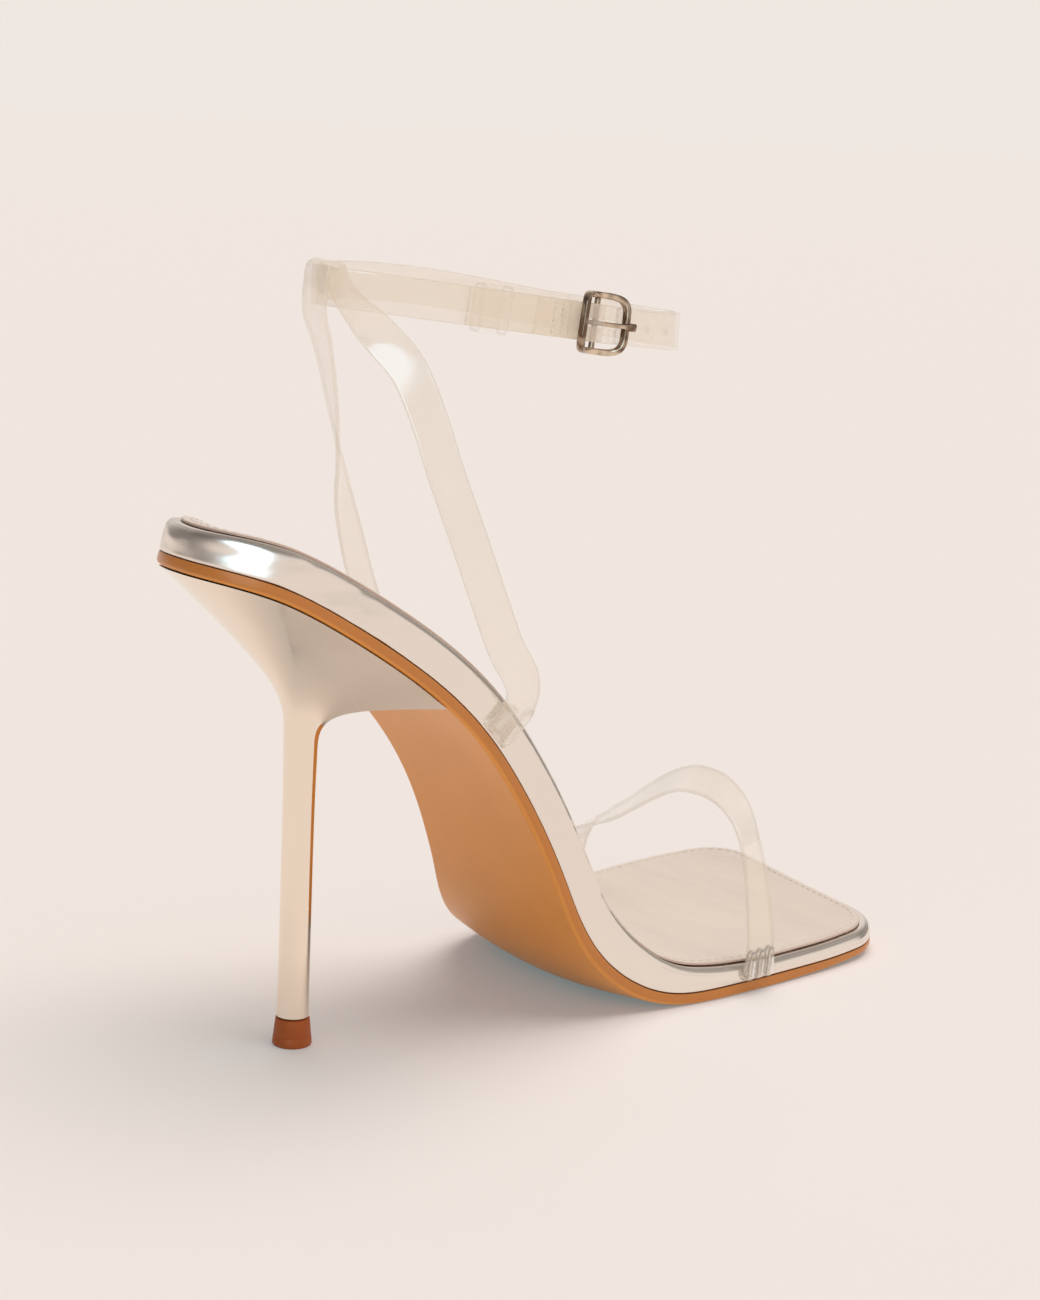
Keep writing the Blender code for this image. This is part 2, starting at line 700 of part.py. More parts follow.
class AnkleLoop:
    """The ankle strap's middle line: a teardrop that slopes down to the front."""

    def __init__(self):
        rows = [(ANKLE_REAR + along * ANKLE_LENGTH, out * ANKLE_HALF_WIDTH,
                 self.height() - drop * ANKLE_DROP) for along, out, drop in ANKLE_ROWS]
        self.points = smooth_path(rows, 0.5, closed=True)
        steps = np.linalg.norm(np.diff(self.points, axis=0), axis=1)
        self.places = np.concatenate([[0], np.cumsum(steps)])
        self.length = self.places[-1]

    @staticmethod
    def height():
        """Height of the rear turn, which hangs in the sling's bend."""
        top = SLING_APEX + SLING_BEND - STRAP_THICKNESS / 2 - 1.4 * GAP
        return top - STRAP_WIDTH / 2

    def at(self, place):
        """Middle line at places along the loop, which may run past its start."""
        place = np.mod(place, self.length)
        return np.stack([np.interp(place, self.places, c) for c in self.points.T], -1)

    def outward(self, place):
        """Level direction away from the loop's inside."""
        ahead = self.at(np.asarray(place) + 0.5) - self.at(np.asarray(place) - 0.5)
        return unit(np.stack([ahead[..., 1], -ahead[..., 0], 0 * ahead[..., 0]], -1))

    def ahead(self, place):
        """Direction along the loop."""
        return unit(self.at(np.asarray(place) + 0.5) - self.at(np.asarray(place) - 0.5))

    def upward(self, place):
        """Direction of the strap's width, square to the loop."""
        return np.cross(self.outward(place), self.ahead(place))


LOOP = AnkleLoop()
LAYER = STRAP_THICKNESS + GAP                          # spacing of two straps that lie together
BAR_REACH = BUCKLE_WIRE + GAP + STRAP_THICKNESS / 2    # strap's middle from the centre bar


def over_bar(along):
    """Outward place of the strap that lies over the bar, by its distance from the bar."""
    rows = [(share * BUCKLE_HALF_LENGTH, place) for share, place in BUCKLE_LAYER_ROWS]
    return smooth_rows(rows, along)[..., 0] * LAYER


def tongue_path():
    """The holed end: from its tip, under the keeper and through the buckle."""
    along = np.arange(-TIP_LENGTH, STRAP_SETTLE * BUCKLE_HALF_LENGTH, 1.2)
    return strap_row(along, over_bar(along))


def strap_row(along, out):
    """Places along the strap from the centre bar, moved outward, with its width's direction."""
    places = BUCKLE_PLACE + along
    centres = LOOP.at(places) + np.asarray(out)[..., None] * LOOP.outward(places)
    return np.hstack([centres, LOOP.upward(places)])


def fold_path():
    """The buckle's end: to the centre bar, round it and back behind itself."""
    along = np.arange(-STRAP_SETTLE * BUCKLE_HALF_LENGTH, -0.6, 1.0)
    run = strap_row(along, np.minimum(over_bar(along) - LAYER, 0.0))
    ahead, out = LOOP.ahead(BUCKLE_PLACE), LOOP.outward(BUCKLE_PLACE)
    bar = LOOP.at(BUCKLE_PLACE) - BAR_REACH * out
    turns = np.radians(np.linspace(90, -90, 9))[:, None]
    bend = bar + BAR_REACH * (np.cos(turns) * ahead + np.sin(turns) * out)
    bend = np.hstack([bend, np.tile(LOOP.upward(BUCKLE_PLACE), (len(bend), 1))])
    back = np.arange(-1.2, -FOLD_LENGTH, -1.2)
    behind = strap_row(back, np.full(len(back), -2 * BAR_REACH))
    return run, bend, behind


def ankle_strap(surface):
    """The ankle strap, from its holed tip round the ankle to the fold that holds the buckle."""
    front = tongue_path()
    run, bend, behind = fold_path()
    first = BUCKLE_PLACE + STRAP_SETTLE * BUCKLE_HALF_LENGTH
    last = LOOP.length + BUCKLE_PLACE - STRAP_SETTLE * BUCKLE_HALF_LENGTH
    around = np.linspace(first, last, int((last - first) / 1.6))[1:-1] - BUCKLE_PLACE
    middle = strap_row(around, np.zeros(len(around)))
    rows = np.vstack([front, middle, run, bend, behind])
    points, faces = ribbon(rows[:, :3], rows[:, 3:], STRAP_WIDTH, STRAP_THICKNESS)
    thing = make_object("ankle_strap", points, faces, surface, 60.0)
    slot = 2 * (PRONG_WIRE + GAP) + PRONG_PLAY
    along = np.arange(-0.4, 0.9 * BUCKLE_HALF_LENGTH, 0.6)
    holed = strap_row(along, over_bar(along))
    wrap = np.vstack([run[-3:], bend, behind[:2]])
    for rows in (smooth_path(holed, 0.47), smooth_path(wrap, 0.43)):
        cutter(*ribbon(rows[:, :3], rows[:, 3:], slot, STRAP_THICKNESS + GAP), thing)
    for index in range(HOLE_COUNT):
        place = BUCKLE_PLACE + HOLE_START * BUCKLE_HALF_LENGTH + index * HOLE_PITCH
        centre, out = LOOP.at(place), LOOP.outward(place)
        cutter(*rod(centre - 2 * out, centre + 2 * out, HOLE_RADIUS, 10), thing)
    return thing


def rod(start, end, radius, sides):
    """A straight round rod between two points."""
    return tube(np.array([start, end]), radius, sides)


def tube(path, radius, sides, closed=False):
    """A round tube along a path."""
    path = np.asarray(path, float)
    if closed:
        ahead = unit(np.roll(path, -1, 0) - np.roll(path, 1, 0))
    else:
        ahead = unit(np.gradient(path, axis=0))
    guide = np.array([0.31, 0.52, 0.80]) if abs(ahead[0][2]) < 0.9 else np.array([0.9, 0.4, 0.1])
    side = unit(np.cross(ahead[0], guide))
    points = []
    for centre, forward in zip(path, ahead):
        side = unit(side - np.dot(side, forward) * forward)
        up = np.cross(forward, side)
        turns = np.linspace(0, 2 * math.pi, sides, endpoint=False)[:, None]
        points.append(centre + radius * (np.cos(turns) * side + np.sin(turns) * up))
    count = len(path)
    faces = []
    for row in range(count - 1):
        low = np.arange(row * sides, (row + 1) * sides)
        faces += band_faces(low, low + sides)
    if closed:
        start = np.arange((count - 1) * sides, count * sides)
        near = points[0][:, None, :] - points[-1][None, :, :]
        shift = int(np.argmin(np.linalg.norm(near, axis=2)[:, 0]))
        faces += band_faces(start, np.roll(np.arange(sides), -shift))
    else:
        faces += [tuple(range(sides))[::-1], tuple(range((count - 1) * sides, count * sides))]
    return np.vstack(points), faces


def buckle_point(along, out, up):
    """Point of the buckle: along the strap from its centre bar, outward and up."""
    place = BUCKLE_PLACE + along
    return (LOOP.at(place) + np.asarray(out)[..., None] * LOOP.outward(place)
            + np.asarray(up)[..., None] * LOOP.upward(place))


def frame_depth(along):
    """Outward place of the buckle's frame, which arches away from the centre bar."""
    rise = BAR_REACH + STRAP_THICKNESS / 2 + BUCKLE_WIRE + 1.6 * GAP
    return -BAR_REACH + rise * (along / BUCKLE_HALF_LENGTH) ** 2


def buckle_frame(surface):
    """The buckle's round-cornered frame with its centre bar."""
    turns = np.linspace(0, 2 * math.pi, 40, endpoint=False)
    power = 2 / BUCKLE_POWER
    along = BUCKLE_HALF_LENGTH * np.sign(np.cos(turns)) * np.abs(np.cos(turns)) ** power
    up = BUCKLE_HALF_HEIGHT * np.sign(np.sin(turns)) * np.abs(np.sin(turns)) ** power
    path = buckle_point(along, frame_depth(along), up)
    thing = make_object("buckle_frame", *tube(path, BUCKLE_WIRE, 8, closed=True), surface, 50.0)
    low = buckle_point(0.0, -BAR_REACH, -BUCKLE_HALF_HEIGHT)
    high = buckle_point(0.0, -BAR_REACH, BUCKLE_HALF_HEIGHT)
    bar = make_object("cutter_bar", *rod(low, high, BAR_SHARE * BUCKLE_WIRE, 8), surface)
    bar.hide_render = True
    bar.display_type = "WIRE"
    join = thing.modifiers.new("bar", "BOOLEAN")
    join.operation = "UNION"
    join.solver = "EXACT"
    join.object = bar
    return thing


def buckle_prong(surface):
    """The prong: an eye round the centre bar and a pin through the strap to the frame."""
    reach = BUCKLE_WIRE + GAP + PRONG_WIRE
    turns = np.radians(np.linspace(-60, -270, 10))
    along = reach * np.cos(turns)
    out = -BAR_REACH + reach * np.sin(turns)
    rest = frame_depth(BUCKLE_HALF_LENGTH) + BUCKLE_WIRE + GAP + PRONG_WIRE
    top = reach - BAR_REACH
    share = np.array([0.22, 0.45, 0.7, 0.9, 1.0, 1.22])
    pin_out = top + (rest - top) * np.clip(share / 0.86, 0, 1)
    along = np.concatenate([along, share * BUCKLE_HALF_LENGTH])
    out = np.concatenate([out, pin_out])
    path = buckle_point(along, out, np.zeros_like(along))
    return make_object("buckle_prong", *tube(path, PRONG_WIRE, 8), surface, 50.0)


def keeper(surface):
    """The loop that holds the strap's loose end against the strap under it."""
    inner_low = -STRAP_THICKNESS / 2 - GAP
    inner_high = LAYER + STRAP_THICKNESS / 2 + GAP
    half = STRAP_WIDTH / 2 + GAP
    loops = []
    for along in np.linspace(0, KEEPER_WIDTH, 4) + KEEPER_PLACE - BUCKLE_PLACE:
        rings = []
        for wall, round_off in ((KEEPER_WALL, KEEPER_ROUND), (0.0, KEEPER_INNER_ROUND)):
            low, high, tall = inner_low - wall, inner_high + wall, half + wall
            rings.append([(low, -tall + round_off), (low, tall - round_off),
                          (low + round_off, tall), (high - round_off, tall),
                          (high, tall - round_off), (high, -tall + round_off),
                          (high - round_off, -tall), (low + round_off, -tall)])
        ring = np.array(rings).reshape(-1, 2)
        loops.append(buckle_point(np.full(16, along), ring[:, 0], ring[:, 1]))
    corners = np.arange(8)
    faces = []
    for row in range(len(loops) - 1):
        start = row * 16
        faces += band_faces(start + corners, start + 16 + corners)
        faces += band_faces(start + 24 + corners, start + 8 + corners)
    last = 16 * (len(loops) - 1)
    faces += band_faces(8 + corners, corners)
    faces += band_faces(last + corners, last + 8 + corners)
    return make_object("keeper", np.vstack(loops), faces, surface, 50.0)


def outward_faces():
    """Turns each piece's faces outward where its shape was built inside out."""
    for thing in bpy.context.scene.objects:
        mesh = thing.data
        corners = np.array([v.co for v in mesh.vertices])
        volume = 0.0
        for face in mesh.polygons:
            ring = corners[list(face.vertices)]
            for one, other in zip(ring[1:-1], ring[2:]):
                volume += np.dot(ring[0], np.cross(one, other))
        if volume < 0:
            mesh.flip_normals()


def main():
    for thing in list(bpy.data.objects):
        bpy.data.objects.remove(thing, do_unlink=True)
    outsole()
    base = footbed()
    insole_sock()
    heel()
    top_lift()
    clear = material("strap_clear", (0.85, 0.76, 0.66), 0.12, 0.0, 0.7)
    gold = material("buckle_gold", (0.83, 0.7, 0.55), 0.15, 1.0)
    toe_strap(base, clear)
    sling_strap(base, clear.copy())
    ankle_strap(clear.copy())
    keeper(clear.copy())
    buckle_frame(gold)
    buckle_prong(gold.copy())
    outward_faces()


main()
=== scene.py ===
"""The looks of a clear-strap stiletto sandal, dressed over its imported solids.

Each visible piece is worked out again here as a fine surface in the sandal's own sizes, which
are in millimetres and are turned into metres where a mesh is made. The frame is the solids'
own: +X to the toe, +Y to the inner side of the foot and +Z up from the ground.
"""
import math

import bpy
import numpy as np
from mathutils import Matrix, Vector


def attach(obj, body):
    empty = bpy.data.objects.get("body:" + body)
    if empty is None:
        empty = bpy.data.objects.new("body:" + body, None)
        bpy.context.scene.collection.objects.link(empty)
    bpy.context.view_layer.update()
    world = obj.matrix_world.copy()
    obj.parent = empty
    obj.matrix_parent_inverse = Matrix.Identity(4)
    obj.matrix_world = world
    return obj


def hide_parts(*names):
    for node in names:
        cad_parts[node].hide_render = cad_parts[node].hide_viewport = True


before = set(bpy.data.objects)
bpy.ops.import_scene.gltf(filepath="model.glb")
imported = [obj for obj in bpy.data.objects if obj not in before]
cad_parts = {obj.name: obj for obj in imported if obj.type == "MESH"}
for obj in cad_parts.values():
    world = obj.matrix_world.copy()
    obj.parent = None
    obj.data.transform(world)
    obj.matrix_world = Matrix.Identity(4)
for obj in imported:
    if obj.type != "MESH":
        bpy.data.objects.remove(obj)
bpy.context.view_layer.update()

bl_info = {
    "name": "Clear-strap sandal looks",
    "version": (1, 0, 0),
    "blender": (4, 5, 0),
    "location": "3D View > Sidebar > Sandal",
    "description": "Dresses the solids of a stiletto sandal with clear straps",
    "category": "Object",
}

MM = 0.001
GAP = 0.3                  # clearance between pieces that meet

# Sole: lengths run along its curve, from the back edge to the front edge
SOLE_LENGTH = 236.5
HEEL_RISE = 104.4
HEEL_OVERHANG = 30.9
BALL_WIDTH = 75.0
OUTSOLE_THICKNESS = 2.6
FOOTBED_THICKNESS = 8.8
SOCK_THICKNESS = 0.6
SOCK_INSET = 2.6
BELLY_DEPTH = 3.4
HEEL_CUP = 1.1
CUP_FADE = 1.25            # the dish fades by this share of its depth along the whole sole
CUP_LEAST = 0.3
BACK_CORNER = 15.0
FRONT_CORNER = 12.0
FRONT_SKEW = 0.16
EDGE_RADIUS = 2.0
SOLE_EDGE_RADIUS = 0.9
SIDE_BULGE = 0.12          # of the wrapping between its lower edge and its roll
SEAM_TURN = 52.0           # place of the seam on the roll, in degrees
FLEX_STATION = 172.0       # where the sock creases at the ball, and where at the waist
WAIST_STATION = 120.0
CROSS_POINTS = 36          # points of each fine line across the sole

# Heel
WING_REACH = 63.0
BREAST_DEPTH = 9.0
SEAT_INSET = 0.4
FLARE_BACK = 78.0
FLARE_FRONT = 72.3
FLARE_FILLET = 8.5
FLARE_STRAIGHT = 0.86
STEM_RADIUS = 3.45
STEM_TOP = 1.05            # shares of the stem's radius
STEM_WAIST = 0.97
STEM_FOOT = 1.01
LIFT_RADIUS = 4.2
LIFT_HEIGHT = 6.0

# Straps
STRAP_WIDTH = 8.0
TOE_STRAP_WIDTH = 9.0
STRAP_THICKNESS = 1.0
TUCK_DEPTH = 4.0
TUCK_ROUND = 0.5           # inner radius of a strap end's turn up the side
SLING_STATION = 77.0
SLING_APEX = 162.1
SLING_BEND = 2.3
ANKLE_REAR = 3.0
ANKLE_LENGTH = 94.5
ANKLE_HALF_WIDTH = 17.5
ANKLE_DROP = 12.0
TOE_STATION = 187.5
TOE_ARCH = 39.0
TOE_LEAN = 5.0

# Buckle
BUCKLE_PLACE = 66.0
BUCKLE_HALF_LENGTH = 6.4
BUCKLE_HALF_HEIGHT = 5.9
BUCKLE_WIRE = 0.7
BUCKLE_POWER = 5.0         # squareness of the frame's superellipse
WIRE_POWER = 3.2           # and of its wire's
BAR_SHARE = 0.93           # the centre bar is this much of the frame's wire
PRONG_WIRE = 0.5
PRONG_PLAY = 0.1
STRAP_SETTLE = 2.2         # half lengths of the buckle after which a strap lies on the loop
FOLD_LENGTH = 16.0
TIP_LENGTH = 35.0
KEEPER_PLACE = 33.5
KEEPER_WIDTH = 6.5
KEEPER_WALL = 0.8
KEEPER_POWER = 7.0
HOLE_RADIUS = 0.8
HOLE_START = 2.6           # half lengths of the buckle from its centre bar to the first hole
HOLE_PITCH = 9.5
HOLE_COUNT = 2

# The photograph's viewpoint: place in millimetres, then directions
CAMERA_PLACE = (-332.5, -473.6, 216.1)
CAMERA_FORWARD = (0.5984, 0.7834, -0.1682)
CAMERA_RIGHT = (0.7980, -0.6016, 0.0371)
CAMERA_TURN = (0.0338, -0.0523)    # shares by which the view turns right and up
CAMERA_LENS = 80.0

# Overhead light: its place and target in metres, its width in degrees and its colour
OVERHEAD_LIGHT = ((0.35, 0.02, 1.2), (0.06, 0.0, 0.06), 58.0, (0.985, 0.99, 1.0))

# Side light: direction, cosines where it begins and is full, and its colour
SIDE_LIGHT = ((-0.61, -0.67, 0.42), 0.855, 0.92, (0.64, 0.86, 1.0))

CLEAR_LAYERS = 24          # faces of clear plastic that a line of sight may cross

# Dark parts of the studio: direction, cosines where each begins and is full, and its depth
DARK_PATCHES = (
    ((-0.72, 0.69, 0.05), 0.25, 0.95, 0.76),
    ((0.95, 0.05, 0.14), 0.84, 0.97, 0.66),
)

# Each row of a table is one station; lengths are shares of the size named in the function
PROFILE_ROWS = (           # station, slope in degrees before it is scaled to the rise
    (0.00, 12.0), (0.105, 29.0), (0.23, 36.0), (0.37, 54.0), (0.505, 66.0),
    (0.63, 31.0), (0.725, 0.0), (0.84, 0.0), (1.05, -6.0), (1.10, -7.0),
)
WIDTH_ROWS = (             # station, inner half width, outer half width
    (0.00, 0.205, 0.225), (0.05, 0.285, 0.243), (0.105, 0.340, 0.256),
    (0.23, 0.331, 0.280), (0.37, 0.291, 0.280), (0.505, 0.324, 0.311),
    (0.63, 0.482, 0.341), (0.755, 0.593, 0.377), (0.89, 0.653, 0.360),
    (1.05, 0.560, 0.273),
)
THICKNESS_ROWS = (         # station, footbed thickness
    (0.00, 0.86), (0.30, 0.91), (0.50, 0.94), (0.58, 1.00), (0.62, 0.96),
    (0.66, 0.82), (0.70, 0.66), (0.75, 0.50), (0.82, 0.40), (1.10, 0.43),
)
BELLY_ROWS = (             # station, how far the middle hangs below the sides
    (0.00, 0.00), (0.42, 0.00), (0.56, 0.75), (0.63, 1.00), (0.675, 0.45),
    (0.72, 0.05), (0.76, 0.00), (1.10, 0.00),
)
OUTSOLE_ROWS = (           # station, outsole thickness
    (0.00, 1.00), (0.80, 1.00), (0.95, 0.72), (1.10, 0.62),
)
SLING_OUTER_ROWS = (       # back, out, rise, turn and tip of the strap's width
    (-0.020, 1.06, 0.035, -5.0, 0.0),
    (0.010, 1.09, 0.085, -12.0, 15.0),
    (0.140, 1.11, 0.160, -17.0, 18.0),
    (0.235, 1.08, 0.250, -18.0, 15.0),
    (0.365, 0.97, 0.405, -18.0, 12.0),
    (0.485, 0.82, 0.560, -18.0, 10.0),
    (0.550, 0.64, 0.690, -20.0, 8.0),
    (0.625, 0.46, 0.795, -26.0, 5.0),
    (0.755, 0.27, 0.870, -45.0, 0.0),
    (0.880, 0.08, 0.940, -78.0, 0.0),
)
SLING_INNER_ROWS = (
    (1.065, 0.02, 0.940, -92.0, 0.0),
    (1.040, 0.06, 0.905, -96.0, 0.0),
    (0.940, 0.20, 0.850, -100.0, 0.0),
    (0.835, 0.32, 0.775, -106.0, 0.0),
    (0.695, 0.51, 0.660, -115.0, 0.0),
    (0.590, 0.65, 0.560, -128.0, 0.0),
    (0.475, 0.80, 0.450, -148.0, 0.0),
    (0.330, 0.94, 0.330, -160.0, -10.0),
    (0.165, 1.06, 0.190, -165.0, -15.0),
    (0.035, 1.10, 0.090, -170.0, -10.0),
    (-0.030, 1.07, 0.035, -175.0, 0.0),
)
ANKLE_ROWS = (             # along, out, drop: rear turn, outer side, front turn, inner side
    (0.000, 0.00, 0.00), (0.000, -0.14, 0.00), (0.003, -0.27, 0.00),
    (0.055, -0.52, 0.04), (0.180, -0.80, 0.17), (0.440, -1.00, 0.44),
    (0.630, -0.96, 0.65), (0.790, -0.76, 0.82), (0.910, -0.46, 0.94),
    (0.975, -0.20, 1.00), (1.000, 0.02, 1.00), (0.965, 0.25, 0.96),
    (0.880, 0.52, 0.85), (0.720, 0.84, 0.66), (0.440, 1.00, 0.28),
    (0.220, 0.84, 0.08), (0.060, 0.52, 0.00), (0.003, 0.27, 0.00),
    (0.000, 0.14, 0.00),
)
TOE_ROWS = (               # across, rise, back, turn and tip of the strap's width
    (0.000, 0.16, 0.00, 8.0, 0.0),
    (0.018, 0.42, 0.12, 14.0, 2.0),
    (0.040, 0.67, 0.35, 22.0, 6.0),
    (0.068, 0.84, 0.60, 26.0, 14.0),
    (0.110, 0.94, 0.80, 28.0, 19.0),
    (0.170, 1.00, 1.00, 28.0, 21.0),
    (0.245, 1.01, 1.05, 29.0, 21.0),
    (0.335, 0.98, 1.00, 30.0, 21.0),
    (0.455, 0.88, 0.80, 32.0, 20.0),
    (0.590, 0.73, 0.60, 32.0, 18.0),
    (0.705, 0.60, 0.40, 28.0, 15.0),
    (0.830, 0.48, 0.20, 20.0, 10.0),
    (0.930, 0.37, 0.05, 10.0, 5.0),
    (0.990, 0.22, 0.00, 3.0, 2.0),
)
BUCKLE_LAYER_ROWS = (      # along from the centre bar, outward place of the strap over the bar
    (-2.0, 1.0), (-1.0, -0.04), (-0.25, 1.0), (0.25, 1.0), (1.0, -0.04),
    (STRAP_SETTLE, 0.0),
)


def smooth_rows(rows, places):
    """Values of a table's other columns at places in its first, by cubics that don't overshoot."""
    table = np.array(rows, float)
    knots, values = table[:, 0], table[:, 1:]
    steps = np.diff(knots)[:, None]
    slopes = np.diff(values, axis=0) / steps
    before, after = slopes[:-1], slopes[1:]
    flat = before * after <= 0
    mean = 2 * before * after / np.where(flat, 1.0, before + after)
    tangents = np.vstack([slopes[:1], np.where(flat, 0.0, mean), slopes[-1:]])
    places = np.clip(np.asarray(places, float), knots[0], knots[-1])
    index = np.clip(np.searchsorted(knots, places, side="right") - 1, 0, len(steps) - 1)
    width = steps[index, 0]
    share = ((places - knots[index]) / width)[..., None]
    low, high = values[index], values[index + 1]
    rise_low = tangents[index] * width[..., None]
    rise_high = tangents[index + 1] * width[..., None]
    square, cube = share ** 2, share ** 3
    return ((2 * cube - 3 * square + 1) * low + (cube - 2 * square + share) * rise_low
            + (3 * square - 2 * cube) * high + (cube - square) * rise_high)


def sole_curve(scale):
    """Stations along the sole, its slope there, and its place summed up from the slope."""
    stations = np.linspace(0.0, 1.1 * SOLE_LENGTH, 551)
    slope = np.radians(smooth_rows(PROFILE_ROWS, stations / SOLE_LENGTH)[:, 0])
    slope = np.where(slope > 0, slope * scale, slope)
    step = stations[1] - stations[0]
    middle = (slope[1:] + slope[:-1]) / 2
    along = np.concatenate([[0.0], np.cumsum(np.cos(middle) * step)])
    down = np.concatenate([[0.0], np.cumsum(np.sin(middle) * step)])
    return stations, slope, along - HEEL_OVERHANG, down.max() - down


def fitted_curve():
    """The sole's curve, with the slopes scaled by halving until the back stands at HEEL_RISE."""
    low, high = 0.1, 1.35
    for _ in range(40):
        scale = (low + high) / 2
        if sole_curve(scale)[3][0] < HEEL_RISE:
            low = scale
        else:
            high = scale
    return sole_curve(scale)


STATIONS, SLOPE, ALONG, HEIGHT = fitted_curve()


def half_widths(station):
    """Half widths of the sole to the inner and to the outer side, without its corners."""
    widths = smooth_rows(WIDTH_ROWS, np.asarray(station) / SOLE_LENGTH) * BALL_WIDTH
    return widths[..., 0], widths[..., 1]


def belly(station, across, height):
    """How far a point lies below the sole's sides: a parabola across, never below the flat."""
    depth = smooth_rows(BELLY_ROWS, station / SOLE_LENGTH)[..., 0] * BELLY_DEPTH
    inner, outer = half_widths(station)
    share = np.clip((2 * across - inner + outer) / (inner + outer), -1, 1)
    return np.minimum(depth, height) * (1 - share ** 2)


def lift(station, across, above):
    """Points in space: the curve's place, the distance across, and a height square to it."""
    station, across, above = np.broadcast_arrays(station, across, above)
    angle = np.interp(station, STATIONS, SLOPE)
    height = np.interp(station, STATIONS, HEIGHT)
    x = np.interp(station, STATIONS, ALONG) + above * np.sin(angle)
    z = height - belly(station, across, height) + above * np.cos(angle) + OUTSOLE_THICKNESS
    return np.stack([x, across, z], -1)


def corner_cut(distance, radius):
    """How far a round corner takes the side in: a circle's arc, by the distance from the end."""
    inside = np.clip(radius - distance, 0.0, radius)
    return radius - np.sqrt(radius ** 2 - inside ** 2)


def outline_edges(station):
    """Inner and outer edge of the sole at a station of its centre line, with its corners."""
    inner, outer = half_widths(station)
    cut = corner_cut(station, BACK_CORNER) + corner_cut(SOLE_LENGTH - station, FRONT_CORNER)
    return inner - cut, outer - cut


def skewed(station, across):
    """Station of a point on a cross line, which leans forward to the inner side at the toe."""
    return station + FRONT_SKEW * (station / SOLE_LENGTH) ** 2 * across


def corner_stations(radius, count):
    """Distances from an end that follow a round corner in even turns."""
    return radius * (1 - np.cos(np.linspace(0, math.pi / 2, count)))


def sole_stations():
    """Stations of the fine cross lines, close together at the corners."""
    back = corner_stations(BACK_CORNER, 22)
    front = SOLE_LENGTH - corner_stations(FRONT_CORNER, 20)[::-1]
    middle = np.linspace(back[-1], front[0], 150)[1:-1]
    return np.concatenate([back, middle, front])


def border_index(rows, columns):
    """Row and column of a grid's border, from the outer back corner round by the inner side."""
    i, j = np.arange(rows), np.arange(columns)
    rows_index = np.concatenate([0 * j, i[1:], 0 * j[1:] + rows - 1, i[-2:0:-1]])
    columns_index = np.concatenate([j, 0 * i[1:] + columns - 1, j[-2::-1], 0 * i[-2:0:-1]])
    return rows_index, columns_index


def sole_grid(inset):
    """Stations and places across of the sole's grid, its border moved in square to itself."""
    base = sole_stations()[:, None]
    inner, outer = outline_edges(base)
    share = np.linspace(0, 1, CROSS_POINTS)[None, :]
    across = -outer + share * (inner + outer)
    station = skewed(base, across)
    rows, columns = border_index(*station.shape)
    loop = np.stack([station[rows, columns], across[rows, columns]], -1)
    turn = unit(np.roll(loop, -1, 0) - loop) + unit(loop - np.roll(loop, 1, 0))
    turn = unit(turn)
    loop = loop + inset * np.stack([turn[:, 1], -turn[:, 0]], -1)
    station[rows, columns] = loop[:, 0]
    across[rows, columns] = loop[:, 1]
    low, high = across[:, :1], across[:, -1:]
    first, last = station[:, :1], station[:, -1:]
    return first + share * (last - first), low + share * (high - low)


def footbed_top(station, across):
    """Height of the footbed's upper face: its thickness less a parabola's dish at the heel."""
    base = station / SOLE_LENGTH
    inner, outer = half_widths(station)
    middle, half = (inner - outer) / 2, (inner + outer) / 2
    share = np.clip((across - middle) / half, -1, 1)
    thickness = smooth_rows(THICKNESS_ROWS, base)[..., 0] * FOOTBED_THICKNESS
    cup = HEEL_CUP * np.clip(CUP_FADE * (1 - base), CUP_LEAST, 1.0)
    return thickness - cup * (1 - share ** 2)


def unit(vectors):
    """Vectors scaled to a length of one."""
    return vectors / np.maximum(np.linalg.norm(vectors, axis=-1, keepdims=True), 1e-12)


def smooth_step(value, low, high):
    """Rises from 0 to 1 as the value goes from low to high, level at both ends."""
    share = np.clip((value - low) / (high - low), 0, 1)
    return share ** 2 * (3 - 2 * share)


def superellipse(half_along, half_up, power, count):
    """Two columns of a superellipse at even turns: a power of 2 is round, a high one square."""
    turn = np.linspace(0, 2 * math.pi, count, endpoint=False)
    return np.stack([half * np.sign(wave) * np.abs(wave) ** (2 / power) for half, wave in
                     ((half_along, np.cos(turn)), (half_up, np.sin(turn)))], -1)


def marked(mark):
    """Keeps a mark on a piece's points, as the third part of their place."""
    return {"place": np.stack([0 * mark, 0 * mark, mark], -1)}


def grid_quads(rows, columns, start=0, round_rows=False, round_columns=False, flip=False):
    """Quads of a grid of points that starts at an index and may close on itself either way."""
    i = np.arange(rows if round_rows else rows - 1)[:, None]
    j = np.arange(columns if round_columns else columns - 1)[None, :]
    below, beside = (i + 1) % rows, (j + 1) % columns
    corners = [i * columns + j, i * columns + beside, below * columns + beside,
               below * columns + j]
    quads = np.stack(np.broadcast_arrays(*corners), -1).reshape(-1, 4) + start
    return quads[:, ::-1] if flip else quads


def loop_quads(high, low):
    """Quads between two closed loops of as many points, given by their indices."""
    return np.stack([high, np.roll(high, -1), np.roll(low, -1), low], -1)


def outward_mesh(name, points, faces):
    """A mesh from points in millimetres and groups of faces, turned to face outwards."""
    mesh = bpy.data.meshes.new(name)
    mesh.from_pydata((points * MM).tolist(), [],
                     [list(map(int, face)) for group in faces for face in group])
    mesh.update()
    mesh.calc_loop_triangles()
    corners = np.zeros(3 * len(mesh.loop_triangles), np.int32)
    mesh.loop_triangles.foreach_get("vertices", corners)
    a, b, c = points[corners.reshape(-1, 3).T]
    if np.sum(a * np.cross(b, c)) < 0:
        mesh.flip_normals()
    return mesh


def placed(name, data):
    """A new object in the scene that shows the data."""
    thing = bpy.data.objects.new(name, data)
    bpy.context.scene.collection.objects.link(thing)
    return thing


